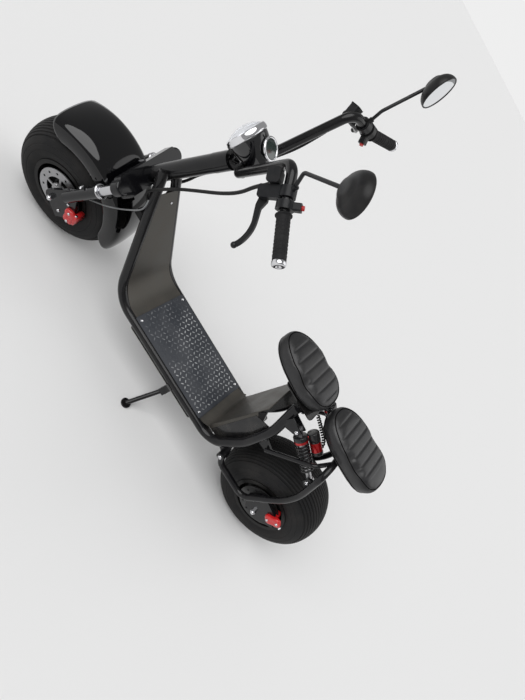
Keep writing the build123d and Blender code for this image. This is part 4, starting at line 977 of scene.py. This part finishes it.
def fenderPart(shape):
    half, walked, steps = shape["section"], [0], shape["steps"]
    for (y, r), (lastY, lastR) in zip(half[1:], half):
        walked.append(walked[-1] + math.hypot(y - lastY, r - lastR))
    half = [(y, r, far / walked[-1]) for (y, r), far in zip(half, walked)]
    line = [(-y, r, far) for y, r, far in reversed(half[1:])] + half
    rows = [(0, *point) for point in line] + [(shape["thick"], *point) for point in reversed(line)]
    centre = Vector(shape["centre"])
    verts = []
    for step in range(steps + 1):
        for inward, y, r, far in rows:
            inset = shape["endRound"] * far ** shape["endRoundBend"]
            low, high = shape["front"] + inset, shape["back"] - inset
            degrees = low + (high - low) * step / steps
            angle = math.radians(degrees)
            pastDroop = max(0, (shape["droopFrom"] - degrees) / shape["droopOver"])
            droop = shape["droop"] * pastDroop ** shape["droopBend"]
            across = y - math.copysign(inward * far, y)
            thinned = inward * (1 - shape["edgeThinning"] * far ** shape["thinningBend"])
            reach = r - thinned - droop
            spot = centre + Vector((math.cos(angle) * reach, across, math.sin(angle) * reach))
            verts.append(barsToRow @ spot)
    count = len(line)
    faces = gridFaces(steps + 1, 2 * count, False, True)
    for base in (0, steps * 2 * count):
        for i in range(count - 1):
            faces.append((base + i, base + i + 1, base + 2 * count - 2 - i, base + 2 * count - 1 - i))
    return verts, faces


dress("frontFenderRolled", [fenderPart(fenderShape)], "steering", "fender_gloss", "front_fender")

# Outer halves of the brake calipers, over the castings that carry them
caliperShape = {
    "long": 0.033,
    "wide": 0.022,
    "thick": 0.013,
    "square": 3.4,
    "waist": 0.16,
    "waistOver": 0.34,
    "rings": [(0, 1), (0.6, 1), (0.85, 0.94), (1, 0.82), (1, 0.5), (0.96, 0.3), (0.96, 0.001)],
    "screwUp": 0.021,
    "screw": (0.0055, 0.0045),
    "bleedAt": (0.024, 0.028),
    "bleed": (0.005, 0.009),
    "turnSteps": 64,
}
caliperPlaces = {
    "front": {"centre": (1.308, 0.1448, 0.238), "lean": 8, "body": "steering"},
    "rear": {"centre": (-0.0516, 0.1362, 0.2984), "lean": -35, "body": "frame"},
}
bridgeShape = {
    "centre": (1.2875, 0.1125, 0.243),
    "wide": 0.011,
    "long": 0.027,
    "rings": [(0, 0.001), (0, 0.8), (0.002, 1), (0.04, 1), (0.043, 0.85), (0.043, 0.001)],
    "turnSteps": 48,
}


def caliperAxes(setup):
    lean = math.radians(setup["lean"])
    tall = Vector((math.sin(lean), 0, math.cos(lean)))
    short = Vector((math.cos(lean), 0, -math.sin(lean)))
    return Vector(setup["centre"]), short, tall


def caliperPart(shape, setup, matrix):
    centre, short, tall = caliperAxes(setup)
    verts = []
    for high, scale in shape["rings"]:
        for cosine, sine in roundSteps(shape["turnSteps"]):
            corner = squareReach(cosine, sine, shape["square"])
            waist = 1 - shape["waist"] * math.exp(-((sine * corner / shape["waistOver"]) ** 2))
            verts.append(matrix @ (centre + short * (shape["wide"] * scale * corner * cosine * waist)
                                   + tall * (shape["long"] * scale * corner * sine)
                                   + Vector((0, shape["thick"] * high, 0))))
    return verts, gridFaces(len(shape["rings"]), shape["turnSteps"], False, True)


def caliperScrews(shape, setup):
    centre, short, tall = caliperAxes(setup)
    face = Vector((0, shape["thick"], 0))
    screws = []
    for up in (-shape["screwUp"], shape["screwUp"]):
        screws.append((centre + tall * up + face, (0, 1, 0), *shape["screw"]))
    back, up = shape["bleedAt"]
    screws.append((centre - short * back + tall * up, (0, 1, 0), *shape["bleed"]))
    return screws


def bridgePart(shape, matrix):
    centre = Vector(shape["centre"])
    verts = []
    for y, scale in shape["rings"]:
        for cosine, sine in roundSteps(shape["turnSteps"]):
            corner = squareReach(cosine, sine, caliperShape["square"])
            x, z = shape["wide"] * corner * scale * cosine, shape["long"] * corner * scale * sine
            verts.append(matrix @ (centre + Vector((x, y, z))))
    return verts, gridFaces(len(shape["rings"]), shape["turnSteps"], False, True)


for wheelEnd, setup in caliperPlaces.items():
    matrix = bodyToRow[setup["body"]]
    parts = [caliperPart(caliperShape, setup, matrix)]
    if wheelEnd == "front":
        parts.append(bridgePart(bridgeShape, matrix))
    dress(wheelEnd + "CaliperOuter", parts, setup["body"], "caliper_red")

print("stage: fender and calipers made")

# Shock springs wound from round wire
springShape = {
    "front": (0.248, 0.104, 0.628),
    "rear": (0.066, 0.104, 0.548),
    "from": 0.047,
    "length": 0.116,
    "turns": 8.5,
    "turnSteps": 26,
    "endRoom": 0.003,
    "radius": 0.0202,
    "wire": 0.0036,
    "wireSides": 10,
}


# a round wire along points, with a ridge that winds round it where one is given
def wirePart(points, radius, sides, ridge=0.0, pitch=0.008):
    rings = []
    normal = (points[1] - points[0]).orthogonal().normalized()
    walked = 0
    for i, point in enumerate(points):
        ahead = (points[min(i + 1, len(points) - 1)] - points[max(i - 1, 0)]).normalized()
        normal = (normal - ahead * normal.dot(ahead)).normalized()
        other = ahead.cross(normal)
        if i:
            walked += (point - points[i - 1]).length
        for side, (cosine, sine) in enumerate(roundSteps(sides)):
            phase = (walked / pitch + side / sides) % 1
            reach = radius * (1 - ridge * (1 - math.sin(math.pi * phase) ** 0.5))
            rings.append(point + (normal * cosine + other * sine) * reach)
    return rings, gridFaces(len(points), sides, False, True) + endFaces(len(points), sides)


def shockLine(side):
    front, rear = onSide(springShape["front"], side), onSide(springShape["rear"], side)
    return front, (rear - front).normalized()


def springPart(shape, side):
    front, way = shockLine(side)
    across = Vector((0, 1, 0))
    other = way.cross(across)
    length = shape["length"] - 2 * shape["endRoom"]
    count = shape["turns"] * shape["turnSteps"]
    points = []
    for step in range(int(count) + 1):
        turn = 2 * math.pi * step / shape["turnSteps"]
        along = way * (shape["from"] + shape["endRoom"] + length * step / count)
        out = across * math.cos(turn) + other * math.sin(turn)
        points.append(bikeToRow @ (front + along + out * shape["radius"]))
    return wirePart(points, shape["wire"], shape["wireSides"])


springParts = [springPart(springShape, side) for side in (1, -1)]
dress("shockSpringsWound", springParts, "frame", "spring_black", "shock_springs")


# the smooth line that a lead or hose follows
def smoothLine(points, matrix, finer):
    curve = bpy.data.curves.new("routeLine", "CURVE")
    curve.dimensions = "3D"
    curve.resolution_u = finer
    spline = curve.splines.new("NURBS")
    spline.points.add(len(points) - 1)
    for spot, point in zip(spline.points, points):
        spot.co = (*(matrix @ Vector(point)), 1)
    spline.use_endpoint_u = True
    spline.order_u = 3
    holder = bpy.data.objects.new("routeLine", curve)
    mesh = bpy.data.meshes.new_from_object(holder)
    line = [v.co.copy() for v in mesh.vertices]
    bpy.data.objects.remove(holder)
    bpy.data.curves.remove(curve)
    bpy.data.meshes.remove(mesh)
    return line


# Wire bundles with a spiral wrap, from the bars to the frame, held at both ends
bundleShape = {
    "radius": 0.0054,
    "wrapPitch": 0.0085,
    "wrapRidge": 0.13,
    "lineSteps": 60,
    "sides": 12,
    "bendStart": (1.09, 0, 0.72),
    "bendEnd": (1.15, 0, 0.5),
    "left": [(0.9518, 0.1948, 1.1034), (0.9518, 0.1948, 1.0794), (0.969, 0.184, 1.036), (0.983, 0.158, 0.956),
             (1.016, 0.125, 0.869), (1.063, 0.092, 0.777), (1.119, 0.058, 0.67), (1.1625, 0.0872, 0.6176),
             (1.1806, 0.078, 0.5668), (1.1541, 0.0498, 0.5087), (1.1545, 0.0538, 0.4642)],
    "right": [(0.9618, -0.2062, 1.1104), (0.9618, -0.2062, 1.0864), (0.969, -0.184, 1.036),
              (0.983, -0.158, 0.956), (1.016, -0.125, 0.869), (1.063, -0.092, 0.777), (1.119, -0.058, 0.67),
              (1.1313, -0.0691, 0.6032), (1.1533, -0.0587, 0.5541), (1.1416, -0.0127, 0.503),
              (1.142, -0.0087, 0.4584)],
}
for side in ("left", "right"):
    line = smoothLine(bundleShape[side], barsToRow, bundleShape["lineSteps"])
    wrapped = wirePart(line, bundleShape["radius"], bundleShape["sides"], bundleShape["wrapRidge"],
                       bundleShape["wrapPitch"])
    bundle = dress(side + "BundleWrapped", [wrapped], None, "hose_black", side + "_wire_bundle")
    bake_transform(bundle)

# Thin brake hose from the slider's clip across to the frame, held at both ends
hoseShape = {
    "radius": 0.0026,
    "bars": [(1.3205, 0.1405, 0.335), (1.302, 0.143, 0.3655), (1.2885, 0.141, 0.388),
             (1.2474, 0.1365, 0.4167), (1.2071, 0.132, 0.4558)],
    "frame": [(1.1418, 0.124, 0.507), (1.1196, 0.118, 0.5421), (1.1175, 0.11, 0.5615), (1.128, 0.104, 0.585)],
    "bendFrom": 3,
    "bendTo": 6,
    "lineSteps": 12,
    "sides": 10,
}
hoseRoute = [barsToRow @ Vector(point) for point in hoseShape["bars"]]
hoseRoute += [bikeToRow @ Vector(point) for point in hoseShape["frame"]]
hoseLine = smoothLine(hoseRoute, Matrix(), hoseShape["lineSteps"])
hosePart = wirePart(hoseLine, hoseShape["radius"], hoseShape["sides"])
brakeHose = joinPieces("frontBrakeHose", [hosePart], None, finishes["hose_grey"])
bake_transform(brakeHose)

# Coiled lead under the rear seat, held at the seat pan and at the reservoir's bracket
coilShape = {
    "route": [(0.2524, 0.035, 0.670), (0.2222, 0.035, 0.6602), (0.197, 0.035, 0.6492),
              (0.1706, 0.036, 0.6419), (0.149, 0.042, 0.63), (0.14, 0.052, 0.612)],
    "pitch": 0.0096,
    "radius": 0.0046,
    "wire": 0.0029,
    "lineSteps": 24,
    "partsOfStep": 4,
    "sides": 8,
}


def coilPoints(shape):
    line = smoothLine(shape["route"], bikeToRow, shape["lineSteps"])
    parts = shape["partsOfStep"]
    points, walked, normal = [], 0, (line[1] - line[0]).orthogonal().normalized()
    for point, following in zip(line, line[1:]):
        stretch = following - point
        ahead = stretch.normalized()
        normal = (normal - ahead * normal.dot(ahead)).normalized()
        for part in range(parts):
            turn = 2 * math.pi * (walked + stretch.length * part / parts) / shape["pitch"]
            out = normal * math.cos(turn) + ahead.cross(normal) * math.sin(turn)
            points.append(point + stretch * (part / parts) + out * shape["radius"])
        walked += stretch.length
    return points


coilPart = wirePart(coilPoints(coilShape), coilShape["wire"], coilShape["sides"])
dress("seatLeadCoil", [coilPart], "frame", "hose_black")

# Black caps over the shocks' collars and reservoirs, which leave their red bands: (start, end, radius)
capShape = {
    "collar": (0.0205, 0.0365, 0.0247),
    "tankTop": (0.0, 0.036, 0.0206),
    "tankFoot": (0.0705, 0.0855, 0.0206),
    "tankAlong": 0.023,
    "tankAbove": 0.03,
    "tankInward": 0.034,
    "turnSteps": 56,
}


def capOutline(start, end, radius):
    return [(start, 0.0001), (start, radius - 0.002), (start + 0.0006, radius - 0.0006),
            (start + 0.002, radius), (end - 0.0015, radius), (end - 0.0005, radius - 0.0005),
            (end, radius - 0.0015), (end, 0.0001)]


capBands = []
for side in (1, -1):
    front, way = shockLine(side)
    above = Vector((way.z, 0, -way.x)) * capShape["tankAbove"]
    tank = front + way * capShape["tankAlong"] + above - Vector((0, side * capShape["tankInward"], 0))
    for spot, capName in ((front, "collar"), (tank, "tankTop"), (tank, "tankFoot")):
        outline = capOutline(*capShape[capName])
        capBands.append(turnedPart(outline, way, spot, capShape["turnSteps"], bikeToRow))
dress("shockCaps", capBands, "frame", "spring_black")

# Chrome lips on the sliders, and a chrome ring round the display; outlines are (along, out)
lipShape = {
    "centre": (1.2754, 0.1375, 0.4597),
    "way": (-math.sin(bikeShape["headRake"]), 0, math.cos(bikeShape["headRake"])),
    "outline": [(-0.001, 0.0168), (-0.001, 0.0248), (0.0015, 0.0258), (0.004, 0.025), (0.0058, 0.0215),
                (0.006, 0.0168), (-0.001, 0.0168)],
    "turnSteps": 48,
}
displayRingShape = {
    "centre": (1.0261, 0, 0.9968),
    "way": (-0.5, 0, 0.866),
    "outline": [(0.003, 0.0304), (0.003, 0.0338), (0.0072, 0.0341), (0.0094, 0.0328), (0.0099, 0.03),
                (0.0086, 0.0272), (0.003, 0.0304)],
    "turnSteps": 64,
}


def ringPart(shape, side=1):
    centre = onSide(shape["centre"], side)
    return turnedPart(shape["outline"], shape["way"], centre, shape["turnSteps"], barsToRow)


dress("sliderLips", [ringPart(lipShape, side) for side in (1, -1)], "steering", "stanchion_chrome")
dress("displayRing", [ringPart(displayRingShape)], "steering", "light_chrome")
print("stage: springs and bundles made")


# Screws and domed nuts: (centre, axis, radius, height)
def screwOutline(radius, height):
    socket = height * 0.45
    return [(-0.0006, radius), (height * 0.55, radius), (height * 0.85, radius * 0.86),
            (height, radius * 0.62), (height * 0.97, radius * 0.5), (socket, radius * 0.46), (socket, 0.0001)]


def nutOutline(radius, height, steps=8):
    outline = [(0, radius * 0.8), (0.0004, radius)]
    for step in range(steps + 1):
        angle = math.pi / 2 * step / steps
        outline.append((0.001 + height * math.sin(angle), radius * max(0.001, math.cos(angle))))
    return outline


def addFasteners(name, body, fasteners, outlineOf=screwOutline, steps=20):
    parts = [turnedPart(outlineOf(radius, height), axis, centre, steps, bodyToRow[body])
             for centre, axis, radius, height in fasteners]
    dress(name, parts, body, "chrome")


def bothSides(centre, radius, height):
    return [(onSide(centre, side), (0, side, 0), radius, height) for side in (1, -1)]


matScrewPlaces = {"ahead": (0.832, 0.432), "left": (0.112, -0.112), "up": 0.2293, "size": (0.0055, 0.0032)}
discScrews = {"count": 5, "circle": 0.026, "left": 0.108, "size": (0.0042, 0.003)}


def discScrewSet(shape, axle):
    screws = []
    for step in range(shape["count"]):
        turn = 2 * math.pi * (step + 0.5) / shape["count"]
        x, z = axle[0] + shape["circle"] * math.cos(turn), axle[2] + shape["circle"] * math.sin(turn)
        screws.append(((x, shape["left"], z), (0, 1, 0), *shape["size"]))
    return screws


for wheelEnd, setup in caliperPlaces.items():
    addFasteners(wheelEnd + "CaliperScrews", setup["body"], caliperScrews(caliperShape, setup))
addFasteners("castingScrews", "steering", [
    ((1.3523, 0.1445, 0.2018), (0, 1, 0), 0.006, 0.005),
    ((1.334, 0.1445, 0.275), (0, 1, 0), 0.0055, 0.005),
    ((1.3289, 0.1435, 0.4105), (0, 1, 0), 0.005, 0.014),
])
addFasteners("stayBolts", "frame", bothSides((0.2244, 0.124, 0.4643), 0.008, 0.006))
frontDomes = bothSides((1.39748, 0.1555, 0.22753), 0.0088, 0.008)
rearDomes = bothSides((0, 0.1468, 0.2275), 0.0088, 0.008)
addFasteners("frontAxleDomes", "steering", frontDomes, nutOutline, 28)
addFasteners("rearAxleDomes", "frame", rearDomes, nutOutline, 28)
addFasteners("matScrews", "frame", [((x, y, matScrewPlaces["up"]), (0, 0, 1), *matScrewPlaces["size"])
                                    for x in matScrewPlaces["ahead"] for y in matScrewPlaces["left"]])
addFasteners("frontDiscScrews", "front_wheel", discScrewSet(discScrews, bikeShape["frontAxle"]))
addFasteners("rearDiscScrews", "rear_wheel", discScrewSet(discScrews, bikeShape["rearAxle"]))
addFasteners("shockBolts", "frame", bothSides((0.248, 0.1187, 0.628), 0.0075, 0.005)
             + bothSides((0.066, 0.1235, 0.548), 0.0075, 0.005))
addFasteners("hoopBolts", "frame", bothSides((0.25, 0.1475, 0.24), 0.009, 0.006))
addFasteners("standBolt", "side_stand", [
    ((0.569, 0.132, 0.138), (0, 0.64, 0.77), 0.007, 0.013),
    ((0.558, 0.14, 0.149), (0, 0.64, 0.77), 0.006, 0.01),
])
addFasteners("shieldScrew", "frame", [((1.1114, -0.0208, 0.5428), (-0.885, 0, 0.465), 0.0045, 0.003)])
print("stage: fasteners made")

# Floor mat: a rounded plate with raised lozenges, worn pale down its middle
matShape = {
    "front": 0.852,
    "rear": 0.411,
    "half": 0.127,
    "low": 0.2263,
    "thick": 0.003,
    "corner": 0.006,
    "cornerSteps": 6,
    "edge": 0.0006,
    "pitch": 0.0178,
    "border": 0.02,
    "farBorder": 0.01,
    "long": 0.0068,
    "wide": 0.0024,
    "rise": 0.0013,
    "sink": 0.0002,
    "lean": 45,
    "rings": [(1, 0), (0.72, 0.75), (0.3, 1)],
    "turnSteps": 12,
    "screwRoom": (0.014, 0.012),
}


def matPlatePart(shape):
    corner = shape["corner"]
    front, rear, half = shape["front"] - corner, shape["rear"] + corner, shape["half"] - corner
    outline = []
    corners = ((front, half, 0), (rear, half, 90), (rear, -half, 180), (front, -half, 270))
    for centreX, centreY, start in corners:
        for step in range(shape["cornerSteps"] + 1):
            turn = math.radians(start + 90 * step / shape["cornerSteps"])
            outline.append((centreX + corner * math.cos(turn), centreY + corner * math.sin(turn)))
    middle = (shape["front"] + shape["rear"]) / 2
    levels = ((0, 0), (0, shape["thick"] - shape["edge"]), (shape["edge"], shape["thick"]))
    verts = []
    for inset, z in levels:
        for x, y in outline:
            spot = (x - math.copysign(inset, x - middle), y - math.copysign(inset, y), shape["low"] + z)
            verts.append(bikeToRow @ Vector(spot))
    count = len(outline)
    return verts, gridFaces(len(levels), count, False, True) + endFaces(len(levels), count)


def nearMatScrew(shape, x, y):
    roomX, roomY = shape["screwRoom"]
    return (min(abs(x - screwX) for screwX in matScrewPlaces["ahead"]) < roomX
            and min(abs(y - screwY) for screwY in matScrewPlaces["left"]) < roomY)


def lozengePart(shape, x, y, lean):
    top = shape["low"] + shape["thick"] - shape["sink"]
    rings, count = len(shape["rings"]), shape["turnSteps"]
    verts = []
    for scale, high in shape["rings"]:
        for cosine, sine in roundSteps(count):
            u, v = shape["long"] * scale * cosine, shape["wide"] * scale * sine
            verts.append(bikeToRow @ Vector((x + u * math.cos(lean) - v * math.sin(lean),
                                             y + u * math.sin(lean) + v * math.cos(lean),
                                             top + shape["rise"] * high)))
    return verts, gridFaces(rings, count, False, True) + endFaces(rings, count)[1:]


def matTreadParts(shape):
    margin = shape["border"] + shape["farBorder"]
    columns = int((shape["front"] - shape["rear"] - margin) / shape["pitch"]) + 1
    rows = int((2 * shape["half"] - margin) / shape["pitch"]) + 1
    parts = []
    for i in range(columns):
        for j in range(rows):
            x = shape["rear"] + shape["border"] + i * shape["pitch"]
            y = -shape["half"] + shape["border"] + j * shape["pitch"]
            lean = math.radians(shape["lean"] if (i + j) % 2 else -shape["lean"])
            if not nearMatScrew(shape, x, y):
                parts.append(lozengePart(shape, x, y, lean))
    return parts


dress("floorMatPlate", [matPlatePart(matShape)], "frame", "floor_mat", "floor_mat")
place(joinPieces("floorMatTread", matTreadParts(matShape), "frame", finishes["mat_worn"]), "floor_mat")

# The sheet's edges, carried on to the rails that they are welded to
sheetEdgeShape = {"reach": 0.007, "sideways": 0.5, "riserAhead": 0.5, "riserUp": 0.25}


def addSheetEdges(shape):
    source = nodes["floor_and_leg_shield"]
    bm = bmesh.new()
    bm.from_mesh(source.data)
    bm.transform(bikeToRow.inverted() @ source.matrix_world)
    bm.normal_update()
    others = []
    for face in bm.faces:
        middle = face.calc_center_median()
        onRiser = middle.x < shape["riserAhead"] and middle.z > shape["riserUp"]
        if abs(face.normal.y) < shape["sideways"] or onRiser:
            others.append(face)
    bmesh.ops.delete(bm, geom=others, context="FACES")
    grown = bmesh.ops.extrude_face_region(bm, geom=list(bm.faces), use_keep_orig=True)
    for vert in [item for item in grown["geom"] if isinstance(item, bmesh.types.BMVert)]:
        vert.co.y += math.copysign(shape["reach"], vert.co.y)
    bmesh.ops.recalc_face_normals(bm, faces=bm.faces)
    bm.transform(bikeToRow)
    mesh = bpy.data.meshes.new("sheetEdges")
    bm.to_mesh(mesh)
    bm.free()
    shade(mesh, False)
    place(addPiece("sheetEdges", mesh, "frame", finishes["dark_sheet"]), "dark_sheet")


addSheetEdges(sheetEdgeShape)

# Foot plates under the riser, and folded flanges that close its edges onto its side panels
riserPlates = {
    "riserFootPlates": {
        "finish": "panel_black_and_shade", "inner": 0.1044, "outer": 0.1064,
        "outline": [(0.40, 0.2245), (0.338, 0.2245), (0.338, 0.19), (0.40, 0.19)],
    },
    "riserFlanges": {
        "finish": "dark_sheet", "inner": 0.1028, "outer": 0.1052,
        "outline": [(0.372, 0.2268), (0.338, 0.2268), (0.336, 0.30), (0.334, 0.49), (0.3535, 0.505),
                    (0.3555, 0.47), (0.3645, 0.30), (0.3675, 0.262), (0.378, 0.238)],
    },
}
for plateName, shape in riserPlates.items():
    count = len(shape["outline"])
    parts = []
    for side in (1, -1):
        verts = [bikeToRow @ Vector((x, side * y, z))
                 for y in (shape["inner"], shape["outer"]) for x, z in shape["outline"]]
        parts.append((verts, gridFaces(2, count, False, True) + endFaces(2, count)))
    place(joinPieces(plateName, parts, "frame", finishes[shape["finish"]], smooth=False), "dark_sheet")
print("stage: floor mat made")

# Small rounding on the cast and machined solids
edgeRounding = {
    "brake_levers": 0.0022, "brake_cylinders": 0.0012, "switch_pods": 0.0012, "stem": 0.0015,
    "fork_crown": 0.0015, "fork_sliders": 0.0018, "front_caliper": 0.0016, "rear_caliper": 0.0016,
    "cable_boot": 0.002, "battery_box": 0.003, "tail_lamp": 0.003, "seat_base": 0.0015, "display": 0.0018,
}
roundingSetup = {"segments": 2, "sharpFrom": math.radians(40)}
for nodeName, wide in edgeRounding.items():
    edge = nodes[nodeName].modifiers.new("edge", "BEVEL")
    edge.width = wide
    edge.segments = roundingSetup["segments"]
    edge.limit_method = "ANGLE"
    edge.angle_limit = roundingSetup["sharpFrom"]

# Floor and light: each sun has the way it comes from and its share of the key's strength
studio = {
    "floorHalf": 150,
    "floorShade": 0.8,
    "floorRoughness": 0.95,
    "floorBelow": 0.0005,
    "backShade": 0.86,
    "worldStrength": 0.3,
    "sunStrength": 2.3,
    "sunSpread": 62,
    "suns": {"keySun": ((0.35, 0.55, 0.75), 1), "fillSun": ((-0.6, -0.5, 0.6), 0.35)},
}


def addFloor(setup):
    material = bpy.data.materials.new("studioFloor")
    material.use_nodes = True
    shader = material.node_tree.nodes["Principled BSDF"]
    shader.inputs["Base Color"].default_value = (*[setup["floorShade"]] * 3, 1)
    shader.inputs["Roughness"].default_value = setup["floorRoughness"]
    shader.inputs["Specular IOR Level"].default_value = 0.0
    size = setup["floorHalf"]
    mesh = bpy.data.meshes.new("studioFloor")
    corners = [(-size, -size, 0), (size, -size, 0), (size, size, 0), (-size, size, 0)]
    mesh.from_pydata(corners, [], [(0, 1, 2, 3)])
    floor = addPiece("studioFloor", mesh, None, material)
    floor.location.z = cadBox[0][2] - setup["floorBelow"]


def addLight(setup):
    world = bpy.data.worlds.new("studioWorld")
    bpy.context.scene.world = world
    world.use_nodes = True
    tree = world.node_tree
    plain, seen = tree.nodes["Background"], tree.nodes.new("ShaderNodeBackground")
    plain.inputs["Color"].default_value = (1, 1, 1, 1)
    plain.inputs["Strength"].default_value = setup["worldStrength"]
    seen.inputs["Color"].default_value = (*[setup["backShade"]] * 3, 1)
    rays, mix = tree.nodes.new("ShaderNodeLightPath"), tree.nodes.new("ShaderNodeMixShader")
    tree.links.new(rays.outputs["Is Camera Ray"], mix.inputs["Fac"])
    tree.links.new(plain.outputs[0], mix.inputs[1])
    tree.links.new(seen.outputs[0], mix.inputs[2])
    tree.links.new(mix.outputs[0], tree.nodes["World Output"].inputs["Surface"])
    for name, (way, share) in setup["suns"].items():
        data = bpy.data.lights.new(name, "SUN")
        data.energy = setup["sunStrength"] * share
        data.angle = math.radians(setup["sunSpread"])
        lamp = bpy.data.objects.new(name, data)
        lamp.rotation_euler = Vector(way).to_track_quat("Z", "Y").to_euler()
        bpy.context.scene.collection.objects.link(lamp)


addFloor(studio)
addLight(studio)

print("stage: done")
